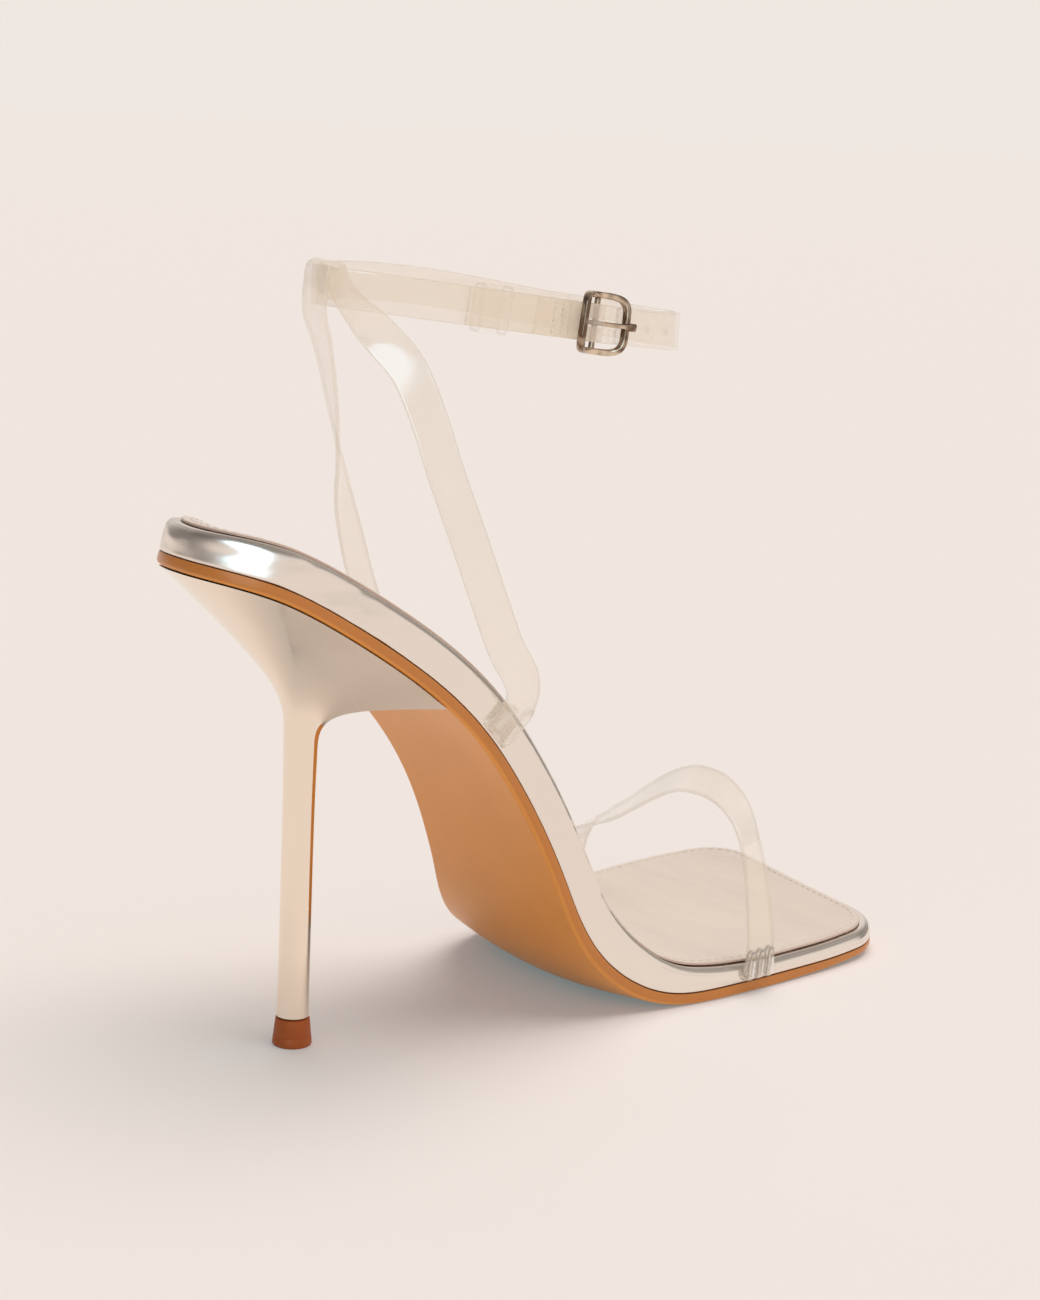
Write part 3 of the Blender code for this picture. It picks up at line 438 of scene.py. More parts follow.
class Piece:
    """A piece in the making: points in millimetres, faces, and values kept on the points."""

    def __init__(self, name, slot, points, faces, values=None, sharp=40.0):
        self.name, self.slot, self.sharp = name, slot, sharp
        self.points, self.faces = np.asarray(points, float), faces
        self.values = values or {}

    def make(self, material, stands_for=()):
        """The object, riding on the one body and standing for its solids."""
        mesh = outward_mesh(self.name, self.points, self.faces)
        for key, value in self.values.items():
            kind, field = ("FLOAT_VECTOR", "vector") if value.ndim == 2 else ("FLOAT", "value")
            store = mesh.attributes.new(key, kind, "POINT")
            store.data.foreach_set(field, value.astype(np.float32).ravel())
        mesh.shade_smooth()
        mesh.set_sharp_from_angle(angle=math.radians(self.sharp))
        mesh.materials.append(material)
        thing = placed(self.name, mesh)
        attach(thing, "root")
        if stands_for:
            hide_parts(*stands_for)
        return thing


def slab(name, slot, layers):
    """A closed sheet that follows the sole.

    Layers run from the lower face to the upper one. Each is an inset of the border, a height
    function of station and place across, and a mark kept on its points. The first and the last
    are whole grids, and those between them are loops along the border.
    """
    grids = []
    for inset, height, mark in layers:
        station, across = sole_grid(inset)
        place = np.stack([station, across, np.full(station.shape, mark)], -1)
        grids.append((lift(station, across, height(station, across)), place))
    rows, columns = grids[0][0].shape[:2]
    border = border_index(rows, columns)
    count = rows * columns
    rim = border[0] * columns + border[1]
    points, places = ([grid[part].reshape(-1, 3) for grid in (grids[0], grids[-1])]
                      for part in (0, 1))
    loops, start = [rim], 2 * count
    for point, place in grids[1:-1]:
        points.append(point[border])
        places.append(place[border])
        loops.append(np.arange(start, start + len(rim)))
        start += len(rim)
    loops.append(rim + count)
    faces = [grid_quads(rows, columns, 0), grid_quads(rows, columns, count, flip=True)]
    faces += [loop_quads(low, high) for low, high in zip(loops[:-1], loops[1:])]
    return Piece(name, slot, np.vstack(points), faces, {"place": np.vstack(places)})


def outsole_piece():
    """The outsole: quarter-round lower edge, upright side and a small upper bevel."""
    def low(station):
        return -OUTSOLE_THICKNESS * smooth_rows(OUTSOLE_ROWS, station / SOLE_LENGTH)[..., 0]

    layers = []
    for turn in np.radians(np.linspace(0, 90, 6)):
        rise = SOLE_EDGE_RADIUS * (1 - math.cos(turn))
        layers.append((SOLE_EDGE_RADIUS * (1 - math.sin(turn)),
                       lambda s, y, r=rise: low(s) + r, turn / math.pi))
    for inset, height, mark in ((0.0, -0.25, 0.6), (0.05, -0.08, 0.9), (0.2, 0.0, 1.0)):
        layers.append((inset, lambda s, y, h=height: h + 0 * s, mark))
    return slab("outsole_leather", "outsole_tan", layers)


def footbed_piece(seam, dents):
    """The footbed's wrapping: a bulging side, a rolled upper edge and a seam high on the roll.

    The side bulges by a half sine, the roll is a quarter circle, and the seam's groove takes
    its radius in by a bell curve of the turn. Long low waves along the border, a sum of three
    sines, stand for the dents of the padding.
    """
    foot = GAP + 0.15

    def waves(station, across):
        return dents * (np.sin(station / 11.0 + 1.0) + 0.6 * np.sin(station / 5.3 + across / 9.0)
                        + 0.4 * np.sin(station / 2.9 - across / 7.0)) / 2

    def side(station, across, share):
        return foot + share * (footbed_top(station, across) - EDGE_RADIUS - foot)

    def roll(station, across, turn, sink):
        return footbed_top(station, across) - sink + waves(station, across) * math.sin(turn)

    layers = [(0.25, lambda s, y: GAP - 0.15 + 0 * s, 0.0),
              (0.05, lambda s, y: GAP + 0.05 + 0 * s, 0.0)]
    for share in (0.0, 0.12, 0.3, 0.5, 0.7, 0.85, 1.0):
        layers.append((-SIDE_BULGE * math.sin(math.pi * share),
                       lambda s, y, k=share: side(s, y, k), 0.0))
    turns = [10, 20, 30, 40, *(SEAM_TURN + np.array([-6, -3.5, -1.5, 0, 1.5, 3.5, 6])),
             64, 72, 81, 90]
    for turn in np.radians(turns):
        mark = math.exp(-((turn - math.radians(SEAM_TURN)) / math.radians(2.6)) ** 2)
        radius = EDGE_RADIUS - seam * mark
        sink = EDGE_RADIUS - radius * math.sin(turn)
        layers.append((EDGE_RADIUS - radius * math.cos(turn),
                       lambda s, y, t=turn, k=sink: roll(s, y, t, k), mark))
    return slab("footbed_wrapping", "footbed_metallic", layers)


def sock_height(station, across, creases):
    """Height of the sock's upper face: the footbed's, with low creases across the flex line.

    The creases are sines along the sole whose phase leans with the place across, faded by a
    bell curve round the ball of the foot, and a slower one at the waist.
    """
    flex = np.exp(-((station - FLEX_STATION) / 16.0) ** 2)
    waist = np.exp(-((station - WAIST_STATION) / 30.0) ** 2)
    ripple = np.sin(station / 1.9 + 0.10 * across + 1.4 * np.sin(across / 8.0))
    slow = np.sin(station / 6.0 + across / 14.0)
    return footbed_top(station, across) + GAP + creases * (flex * ripple + 0.8 * waist * slow)


def sock_piece(creases):
    """The sock: a thin sheet on the footbed, rounded over at its cut edge."""
    def at(above):
        return lambda s, y: sock_height(s, y, creases) + above

    def under(s, y):
        return footbed_top(s, y) + GAP - 0.05

    layers = [(SOCK_INSET, under, 1.0), (SOCK_INSET, at(0.2), 1.0), (SOCK_INSET, at(0.35), 0.9),
              (SOCK_INSET + 0.12, at(0.5), 0.2), (SOCK_INSET + 0.3, at(0.57), 0.0),
              (SOCK_INSET + 0.6, at(SOCK_THICKNESS), 0.0)]
    return slab("sock_lining", "sock_metallic", layers)


def heel_piece():
    """The heel: each point of the seat's rim runs down a cubic curve into the round stem.

    The curve's two inner points lie on the line from the rim to a corner at the flare's
    height, so the seat's lines stay straight and turn into the stem in a fillet. Below it the
    stem narrows to its waist by a parabola, and widens to its foot by another.
    """
    turns = np.concatenate([corner_stations(BACK_CORNER, 18)[:-1],
                            np.linspace(BACK_CORNER, WING_REACH, 46)]) / WING_REACH
    place = np.linspace(-1, 1, 49)[None, :]
    reach = WING_REACH - BREAST_DEPTH * (1 - place ** 2)
    base = turns[:, None] * (reach - SEAT_INSET)
    inner, outer = outline_edges(base)
    across = (inner - outer) / 2 + place * ((inner + outer) / 2 - SEAT_INSET)
    seat = lift(base + SEAT_INSET, across, -OUTSOLE_THICKNESS - GAP)
    rows, columns = seat.shape[:2]
    border = border_index(rows, columns)
    rim = seat[border]
    angle = np.arctan2(rim[:, 1], rim[:, 0])
    ring = np.stack([np.cos(angle), np.sin(angle), np.zeros_like(angle)], -1) * STEM_RADIUS
    upright = np.array([0, 0, 1])
    front = (1 + np.cos(angle))[:, None] / 2
    meet = FLARE_BACK + front * (FLARE_FRONT - FLARE_BACK)
    corner = STEM_TOP * ring + meet * upright
    end = corner - FLARE_FILLET * upright
    first = rim + FLARE_STRAIGHT * (corner - rim)
    second = end + FLARE_STRAIGHT * (corner - end)
    share = np.linspace(0, 1, 70)[1:, None, None]
    rest = 1 - share
    flare = (rest ** 3 * rim + 3 * rest ** 2 * share * first
             + 3 * rest * share ** 2 * second + share ** 3 * end)
    foot = LIFT_HEIGHT + GAP
    above = np.linspace(1, 0, 40)[1:, None, None]
    radius = (STEM_WAIST + (STEM_TOP - STEM_WAIST) * np.clip((above - 0.6) / 0.4, 0, 1) ** 2
              + (STEM_FOOT - STEM_WAIST) * np.clip((0.2 - above) / 0.2, 0, 1) ** 2)
    stem = radius * ring + (foot + above * (meet - FLARE_FILLET - foot)) * upright
    edge = stem[-1:] * np.array([0.9384, 0.9384, 0]) + foot * upright
    rings = np.concatenate([flare, stem[:-1], stem[-1:] + 0.12 * upright, edge])
    count = rows * columns
    loops = np.vstack([border[0] * columns + border[1],
                       count + np.arange(len(rings) * len(rim)).reshape(len(rings), -1)])
    faces = [grid_quads(rows, columns, 0, flip=True)]
    faces += [loop_quads(high, low) for high, low in zip(loops[:-1], loops[1:])]
    faces.append(loops[-1:][:, ::-1])
    points = np.vstack([seat.reshape(-1, 3), rings.reshape(-1, 3)])
    return Piece("heel_shell", "heel_metallic", points, faces, sharp=50.0)


def lift_piece():
    """The top lift: a profile turned round the upright, with rounded rims and a moulded line."""
    rows = ((0.90, 0.0), (0.94, 0.0), (0.975, 0.02), (1.0, 0.07), (0.99, 0.14), (0.965, 0.32),
            (0.958, 0.34), (0.95, 0.345), (0.948, 0.355), (0.953, 0.37), (0.90, 0.75),
            (0.87, 0.93), (0.85, 0.98), (0.80, 1.0))
    radius, height = (np.array(rows) * (LIFT_RADIUS, LIFT_HEIGHT)).T[:, :, None]
    sides = 64
    angle = np.linspace(0, 2 * math.pi, sides, endpoint=False)
    points = np.stack([radius * np.cos(angle), radius * np.sin(angle), height + 0 * angle], -1)
    count = len(rows) * sides
    faces = [grid_quads(len(rows), sides, round_columns=True),
             np.arange(sides)[None, ::-1], np.arange(count - sides, count)[None, :]]
    return Piece("top_lift_block", "lift_brown", points.reshape(-1, 3), faces)


def smooth_path(points, spacing, closed=False):
    """Points at an even spacing on cubics through a few points, with tangents from neighbours."""
    points = np.asarray(points, float)
    if closed:
        points = np.vstack([points[-1:], points, points[:2]])
    else:
        points = np.vstack([2 * points[0] - points[1], points, 2 * points[-1] - points[-2]])
    pieces = []
    for before, start, end, after in zip(points[:-3], points[1:-2], points[2:-1], points[3:]):
        chord = np.linalg.norm((end - start)[:3])
        into = (end - before) * chord / (chord + np.linalg.norm((start - before)[:3]))
        out = (after - start) * chord / (chord + np.linalg.norm((after - end)[:3]))
        share = np.linspace(0, 1, 12, endpoint=False)[:, None]
        square, cube = share ** 2, share ** 3
        pieces.append((2 * cube - 3 * square + 1) * start + (cube - 2 * square + share) * into
                      + (3 * square - 2 * cube) * end + (cube - square) * out)
    pieces.append(points[-2:-1])
    return even_path(np.vstack(pieces), spacing)


def even_path(rows, spacing):
    """The rows' columns read off at even steps along the path of their first three."""
    length = np.linalg.norm(np.diff(rows[:, :3], axis=0), axis=1)
    length = np.concatenate([[0], np.cumsum(length)])
    places = np.linspace(0, length[-1], max(2, int(round(length[-1] / spacing))) + 1)
    return np.stack([np.interp(places, length, column) for column in rows.T], -1)


def strap_section(width, thickness):
    """Section of a strap, as across, out and an edge's mark: a flat band with round edges."""
    half, deep = width / 2, thickness / 2
    flat = np.linspace(1, -1, 19)
    flat = np.sign(flat) * np.abs(flat) ** 0.8 * (half - 0.5 * deep)
    turn = np.radians((75, 45, 15, -15, -45, -75))
    edge = np.stack([half - 0.5 * deep * (1 - np.cos(turn)), deep * np.sin(turn),
                     np.cos(turn) ** 0.5], -1)
    upper = np.stack([flat, 0 * flat + deep, 0 * flat], -1)
    return np.vstack([upper, edge * (-1, 1, 1), upper * (-1, -1, 1), edge * (1, -1, 1)])


def ribbon(centres, facing, section, ripple=None):
    """A band along a path: the section's width points along facing, made square to the path.

    A ripple moves points outward, as a function of the place along the path, its whole length
    and the place across.
    """
    ahead = unit(np.gradient(centres, axis=0))
    side = unit(facing - np.sum(facing * ahead, 1)[:, None] * ahead)
    out = np.cross(ahead, side)
    steps = np.linalg.norm(np.diff(centres, axis=0), axis=1)
    along = np.concatenate([[0], np.cumsum(steps)])
    across = section[None, :, 0] + 0 * along[:, None]
    raised = ripple(along[:, None], along[-1], across) if ripple else 0 * across
    deep = section[None, :, 1] + raised
    points = (centres[:, None, :] + across[..., None] * side[:, None, :]
              + deep[..., None] * out[:, None, :])
    count, corners = points.shape[:2]
    place = np.stack([along[:, None] + 0 * across, across, section[None, :, 2] + 0 * across], -1)
    fold = np.abs(raised) / max(ripple.depth, 1e-6) if ripple else raised
    faces = [grid_quads(count, corners, round_columns=True),
             np.arange(corners)[None, ::-1],
             np.arange((count - 1) * corners, count * corners)[None, :]]
    return points.reshape(-1, 3), faces, {"place": place.reshape(-1, 3), "fold": fold.ravel()}


def pointing(turn, tip):
    """Direction with a turn about the upright from +X and a tip above the level, in degrees."""
    turn, tip = math.radians(turn), math.radians(tip)
    return np.array([math.cos(tip) * math.cos(turn), math.cos(tip) * math.sin(turn),
                     math.sin(tip)])


def side_edge(station, side):
    """Place across of the sole's edge on one side, +1 inner and -1 outer."""
    inner, outer = outline_edges(station)
    return float(inner) if side > 0 else -float(outer)


def side_point(station, side):
    """Point of the sole's upper edge on one side."""
    edge = side_edge(station, side)
    return lift(skewed(station, edge), edge, 0.0)


def anchor_rows(station, side, sense):
    """Strap end: tucked under the footbed, round its lower edge and up its side."""
    edge = side_edge(station, side)
    clear = STRAP_THICKNESS / 2 + GAP
    base = skewed(station, edge)
    half = STRAP_WIDTH / 2
    facing = sense * unit(side_point(station + half, side) - side_point(station - half, side))
    top = float(footbed_top(np.array(base), np.array(edge)))
    bend = clear + TUCK_ROUND
    rows = [(TUCK_DEPTH, clear), (TUCK_DEPTH / 2, clear), (TUCK_ROUND, clear)]
    for angle in np.radians((30, 60, 90)):
        rows.append((TUCK_ROUND - bend * math.sin(angle), clear + bend * (1 - math.cos(angle))))
    low = clear + bend
    rows += [(-clear, low + share * (top - low)) for share in (0.35, 0.65, 0.9)]
    return [np.concatenate([lift(base, edge - side * inward, above), facing])
            for inward, above in rows]


def strap_path(start, rows, end, spacing=0.5):
    """The path of a strap between its two anchored ends, with the direction of its width."""
    start, end = np.array(start), np.array(end)[::-1]
    between = smooth_path(np.vstack([start[-1:], rows, end[:1]]), 1.5)
    path = np.vstack([start[:-1], between, end[1:]])
    return even_path(path, spacing)


class Gathers:
    """Ridges across a strap near its two ends, where it is pulled round the footbed's edge.

    They are cosines across the width, raised away from the footbed, whose phase swings a
    little along the strap, and they are faded by a smooth step at both ends of their reach.
    """

    def __init__(self, depth, reach, ridges, width, path):
        self.depth, self.reach, self.ridges, self.width = depth, reach, ridges, width
        out = np.cross(unit(path[8, :3] - path[6, :3]), path[7, 3:])
        self.sense = 1.0 if out[1] * path[7, 1] > 0 else -1.0

    def __call__(self, along, length, across):
        """How far the strap is raised, by the place along it, its length and the place across."""
        near = np.minimum(along, length - along)
        begun = np.clip((near - TUCK_DEPTH) / 1.5, 0, 1)
        shown = smooth_step(begun * np.clip((self.reach - near) / 4.0, 0, 1), 0, 1)
        phase = self.ridges * (across / self.width + 0.5) + 0.04 * np.sin(near / 1.9)
        return self.sense * self.depth * shown * (0.5 - 0.5 * np.cos(2 * math.pi * phase))


def strap_piece(name, outer, rows, inner, width, pucker, reach, ridges):
    """A strap between its two anchored ends, gathered where it leaves the sole."""
    path = strap_path(outer, rows, inner)
    ripple = Gathers(pucker, TUCK_DEPTH + reach, ridges, width, path)
    section = strap_section(width, STRAP_THICKNESS)
    return Piece(name, "strap_clear", *ribbon(path[:, :3], path[:, 3:], section, ripple), 45.0)


def sling_piece(pucker):
    """The sling: up the outer side, over the ankle strap's rear turn, down the inner side."""
    outer = anchor_rows(SLING_STATION, -1, 1)
    inner = anchor_rows(SLING_STATION, 1, -1)
    rows = []
    for legs, anchor, side in ((SLING_OUTER_ROWS, outer, -1), (SLING_INNER_ROWS, inner, 1)):
        foot = anchor[-1][:3]
        if side > 0:
            rows += apex_rows()
        for back, out, rise, turn, tip in legs:
            spot = (foot[0] + back * (ANKLE_REAR - foot[0]), foot[1] * out,
                    foot[2] + rise * (SLING_APEX - foot[2]))
            rows.append(np.concatenate([spot, pointing(turn, tip)]))
    return strap_piece("sling_strap_clear", outer, rows, inner, STRAP_WIDTH, pucker, 9.0, 1.6)


def apex_rows():
    """The bend over the ankle strap, an arc from its inside to its outside."""
    return [np.array([ANKLE_REAR + SLING_BEND * math.cos(angle), 0.0,
                      SLING_APEX + SLING_BEND * math.sin(angle), 0, -1, 0])
            for angle in np.radians((-15, 30, 60, 90, 120, 150, 195))]


def toe_strap_piece(pucker):
    """The strap that arches over the toes, gathered into ridges at the footbed's edge."""
    outer = anchor_rows(TOE_STATION, -1, 1)
    inner = anchor_rows(TOE_STATION, 1, 1)
    start, end = outer[-1][:3], inner[-1][:3]
    rows = []
    for across, rise, back, turn, tip in TOE_ROWS:
        spot = start + across * (end - start) + (-back * TOE_LEAN, 0, rise * TOE_ARCH)
        rows.append(np.concatenate([spot, pointing(turn, tip)]))
    return strap_piece("toe_strap_clear", outer, rows, inner, TOE_STRAP_WIDTH, pucker, 8.0, 3.0)


class AnkleLoop:
    """The ankle strap's middle line: a teardrop that slopes down to the front."""

    def __init__(self):
        top = SLING_APEX + SLING_BEND - STRAP_THICKNESS / 2 - 1.4 * GAP - STRAP_WIDTH / 2
        rows = [(ANKLE_REAR + along * ANKLE_LENGTH, out * ANKLE_HALF_WIDTH,
                 top - drop * ANKLE_DROP) for along, out, drop in ANKLE_ROWS]
        self.points = smooth_path(rows, 0.5, closed=True)
        steps = np.linalg.norm(np.diff(self.points, axis=0), axis=1)
        self.places = np.concatenate([[0], np.cumsum(steps)])
        self.length = self.places[-1]

    def at(self, place):
        """Middle line at places along the loop, which may run past its start."""
        place = np.mod(place, self.length)
        return np.stack([np.interp(place, self.places, c) for c in self.points.T], -1)

    def ahead(self, place):
        """Direction along the loop."""
        return unit(self.at(np.asarray(place) + 0.5) - self.at(np.asarray(place) - 0.5))

    def outward(self, place):
        """Level direction away from the loop's inside."""
        ahead = self.ahead(place)
        return unit(np.stack([ahead[..., 1], -ahead[..., 0], 0 * ahead[..., 0]], -1))

    def upward(self, place):
        """Direction of the strap's width, square to the loop."""
        return np.cross(self.outward(place), self.ahead(place))


LOOP = AnkleLoop()
LAYER = STRAP_THICKNESS + GAP                          # spacing of two straps that lie together
BAR_REACH = BUCKLE_WIRE + GAP + STRAP_THICKNESS / 2    # strap's middle from the centre bar


def over_bar(along):
    """Outward place of the strap that lies over the bar, by its distance from the bar."""
    rows = [(share * BUCKLE_HALF_LENGTH, place) for share, place in BUCKLE_LAYER_ROWS]
    return smooth_rows(rows, along)[..., 0] * LAYER


def strap_row(along, out):
    """Places along the strap from the centre bar, moved outward, with its width's direction."""
    places = BUCKLE_PLACE + along
    centres = LOOP.at(places) + np.asarray(out)[..., None] * LOOP.outward(places)
    return np.hstack([centres, LOOP.upward(places)])


def buckle_point(along, out, up):
    """Point of the buckle: along the strap from its centre bar, outward and up."""
    place = BUCKLE_PLACE + along
    return (LOOP.at(place) + np.asarray(out)[..., None] * LOOP.outward(place)
            + np.asarray(up)[..., None] * LOOP.upward(place))


def ankle_paths():
    """The ankle strap's rows from its holed tip to its folded end, and the fold by itself."""
    settle = STRAP_SETTLE * BUCKLE_HALF_LENGTH
    along = np.arange(-TIP_LENGTH, settle, 0.6)
    front = strap_row(along, over_bar(along))
    along = np.arange(-settle, -0.6, 0.5)
    run = strap_row(along, np.minimum(over_bar(along) - LAYER, 0.0))
    ahead, out = LOOP.ahead(BUCKLE_PLACE), LOOP.outward(BUCKLE_PLACE)
    bar = LOOP.at(BUCKLE_PLACE) - BAR_REACH * out
    turns = np.radians(np.linspace(90, -90, 13))[:, None]
    bend = bar + BAR_REACH * (np.cos(turns) * ahead + np.sin(turns) * out)
    bend = np.hstack([bend, np.tile(LOOP.upward(BUCKLE_PLACE), (len(bend), 1))])
    back = np.arange(-1.2, -FOLD_LENGTH, -0.6)
    behind = strap_row(back, np.full(len(back), -2 * BAR_REACH))
    length = LOOP.length - 2 * settle
    around = settle + np.linspace(0, length, int(length / 0.8))[1:-1]
    middle = strap_row(around, np.zeros(len(around)))
    return np.vstack([front, middle, run, bend, behind]), np.vstack([run[-6:], bend, behind[:4]])


def flat_section(width, thickness):
    """Section of a plain four-cornered band."""
    half, deep = width / 2, thickness / 2
    return np.array([(half, deep, 0), (-half, deep, 0), (-half, -deep, 0), (half, -deep, 0)])


def rod_shape(start, end, radius, sides):
    """A straight round rod: a circle carried from one point to the other."""
    return tube_shape(np.array([start, end], float), superellipse(radius, radius, 2, sides))


def tube_shape(path, section, guide=None, closed=False):
    """A section carried along a path, held upright to a guide direction."""
    path = np.asarray(path, float)
    if closed:
        ahead = unit(np.roll(path, -1, 0) - np.roll(path, 1, 0))
    else:
        ahead = unit(np.gradient(path, axis=0))
    if guide is None:
        guide = np.array((0.31, 0.52, 0.80) if abs(ahead[0][2]) < 0.9 else (0.9, 0.4, 0.1))
    side = unit(guide - np.sum(guide * ahead, 1)[:, None] * ahead)
    up = np.cross(ahead, side)
    points = (path[:, None, :] + section[None, :, :1] * side[:, None, :]
              + section[None, :, 1:2] * up[:, None, :])
    count, corners = points.shape[:2]
    faces = [grid_quads(count, corners, round_rows=closed, round_columns=True)]
    if not closed:
        faces += [np.arange(corners)[None, ::-1],
                  np.arange((count - 1) * corners, count * corners)[None, :]]
    return points.reshape(-1, 3), faces


def ankle_strap_piece():
    """The ankle strap, with its prong slots and holes left as cutting shapes."""
    rows, wrap = ankle_paths()
    section = strap_section(STRAP_WIDTH, STRAP_THICKNESS)
    piece = Piece("ankle_strap_clear", "strap_clear",
                  *ribbon(rows[:, :3], rows[:, 3:], section), 45.0)
    slot = 2 * (PRONG_WIRE + GAP) + PRONG_PLAY
    along = np.arange(-0.4, 0.9 * BUCKLE_HALF_LENGTH, 0.6)
    holed = strap_row(along, over_bar(along))
    cuts = []
    for path in (even_path(holed, 0.47), even_path(wrap, 0.43)):
        cuts.append(ribbon(path[:, :3], path[:, 3:], flat_section(slot, LAYER))[:2])
    for index in range(HOLE_COUNT):
        spot = BUCKLE_PLACE + HOLE_START * BUCKLE_HALF_LENGTH + index * HOLE_PITCH
        centre, out = LOOP.at(spot), LOOP.outward(spot)
        cuts.append(rod_shape(centre - 2 * out, centre + 2 * out, HOLE_RADIUS, 24))
    return piece, cuts


def cut_out(thing, cuts):
    """Cuts the shapes out of an object and keeps the result as its mesh."""
    tools = [placed("cut", outward_mesh("cut", points, faces)) for points, faces in cuts]
    for tool in tools:
        change = thing.modifiers.new("cut", "BOOLEAN")
        change.operation, change.solver, change.object = "DIFFERENCE", "EXACT", tool
    bpy.context.view_layer.update()
    result = bpy.data.meshes.new_from_object(
        thing.evaluated_get(bpy.context.evaluated_depsgraph_get()))
    thing.modifiers.clear()
    old, thing.data = thing.data, result
    result.name = thing.name
    bpy.data.meshes.remove(old)
    for tool in tools:
        bpy.data.objects.remove(tool, do_unlink=True)


def frame_depth(along):
    """Outward place of the buckle's frame, a parabola that arches away from the centre bar."""
    rise = BAR_REACH + STRAP_THICKNESS / 2 + BUCKLE_WIRE + 1.6 * GAP
    return -BAR_REACH + rise * (along / BUCKLE_HALF_LENGTH) ** 2


def buckle_frame_piece():
    """The buckle's frame and centre bar, two closed shapes in one piece.

    The frame is a superellipse, and so is its wire's section, as a cast and polished bar has.
    """
    along, up = superellipse(BUCKLE_HALF_LENGTH, BUCKLE_HALF_HEIGHT, BUCKLE_POWER, 160).T
    path = buckle_point(along, frame_depth(along), up)
    wire = superellipse(1.2 * BUCKLE_WIRE, 1.2 * 0.85 * BUCKLE_WIRE, WIRE_POWER, 20)
    points, faces = tube_shape(path, wire, LOOP.outward(BUCKLE_PLACE), closed=True)
    low, high = (buckle_point(0.0, -BAR_REACH, side * BUCKLE_HALF_HEIGHT) for side in (-1, 1))
    bar, bar_faces = rod_shape(low, high, BAR_SHARE * BUCKLE_WIRE, 24)
    faces = faces + [group + len(points) for group in bar_faces]
    # painted dark reflections: strongest on the frame's two end bars, and 0.7 on the centre bar
    mark = 0.12 + 0.60 * np.abs(along / BUCKLE_HALF_LENGTH) ** 8
    mark = np.concatenate([np.repeat(mark, len(points) // len(along)), np.full(len(bar), 0.7)])
    return Piece("buckle_frame_metal", "buckle_gold", np.vstack([points, bar]), faces,
                 marked(mark), sharp=60.0)


def prong_piece():
    """The prong: an eye round the centre bar and a pin that runs to the frame.

    The pin's width grows by a smooth step towards a blunt tip, whose end is rounded by a
    circle's arc.
    """
    reach = BUCKLE_WIRE + GAP + PRONG_WIRE
    turns = np.radians(np.linspace(-60, -270, 28))
    along = reach * np.cos(turns)
    out = -BAR_REACH + reach * np.sin(turns)
    rest = frame_depth(BUCKLE_HALF_LENGTH) + BUCKLE_WIRE + GAP + PRONG_WIRE
    top = reach - BAR_REACH
    share = np.concatenate([np.linspace(0.1, 0.8, 12), np.linspace(0.83, 1.19, 14),
                            [1.205, 1.215, 1.22]])
    pin_out = top + (rest - top) * np.clip(share / 0.86, 0, 1)
    along = np.concatenate([along, share * BUCKLE_HALF_LENGTH])
    out = np.concatenate([out, pin_out])
    path = buckle_point(along, out, np.zeros_like(along))
    up = LOOP.upward(BUCKLE_PLACE)
    points, faces = tube_shape(path, superellipse(PRONG_WIRE, PRONG_WIRE, WIRE_POWER, 20), up)
    reached = np.where(np.arange(len(along)) < len(turns), 0.0, along / BUCKLE_HALF_LENGTH)
    rise = smooth_step(reached, 0.70, 0.86)
    end = np.clip((reached - 1.16) / 0.07, 0, 1)
    wide = (1 + 0.7 * rise) * np.sqrt(1 - end ** 2)
    deep = np.sqrt(1 - 0.8 * end ** 2)
    offset = points.reshape(len(path), -1, 3) - path[:, None, :]
    upward = (offset @ up)[..., None] * up
    points = (path[:, None, :] + wide[:, None, None] * upward
              + deep[:, None, None] * (offset - upward)).reshape(-1, 3)
    # painted dark reflections on the prong's eye and on its wide tip
    mark = 0.75 * np.clip(np.maximum(rise, 1 - reached / 0.25), 0, 1)
    mark = np.repeat(mark, len(points) // len(path))
    return Piece("buckle_prong_metal", "buckle_gold", points, faces, marked(mark), sharp=60.0)


def keeper_piece():
    """The keeper: a rounded box section round both straps, carried along them, open inside."""
    middle, deep = LAYER / 2, (LAYER + STRAP_THICKNESS) / 2 + GAP
    tall = STRAP_WIDTH / 2 + GAP
    outer, inner = (superellipse(deep + wall, tall + wall, KEEPER_POWER, 48)
                    for wall in (KEEPER_WALL, 0.0))
    start = KEEPER_PLACE - BUCKLE_PLACE
    end = start + KEEPER_WIDTH
    profile = [(start + 0.25, inner, 0.0), (start, 1.02 * inner, 1.0),
               (start, 0.98 * outer, 1.0), (start + 0.2, outer, 0.0),
               (end - 0.2, outer, 0.0), (end, 0.98 * outer, 1.0),
               (end, 1.02 * inner, 1.0), (end - 0.25, inner, 0.0)]
    points = np.array([buckle_point(np.full(len(ring), along), middle + ring[:, 0], ring[:, 1])
                       for along, ring, mark in profile])
    faces = [grid_quads(*points.shape[:2], round_rows=True, round_columns=True)]
    mark = np.repeat([row[2] for row in profile], points.shape[1])
    return Piece("keeper_clear", "keeper_clear", points.reshape(-1, 3), faces, marked(mark), 45.0)


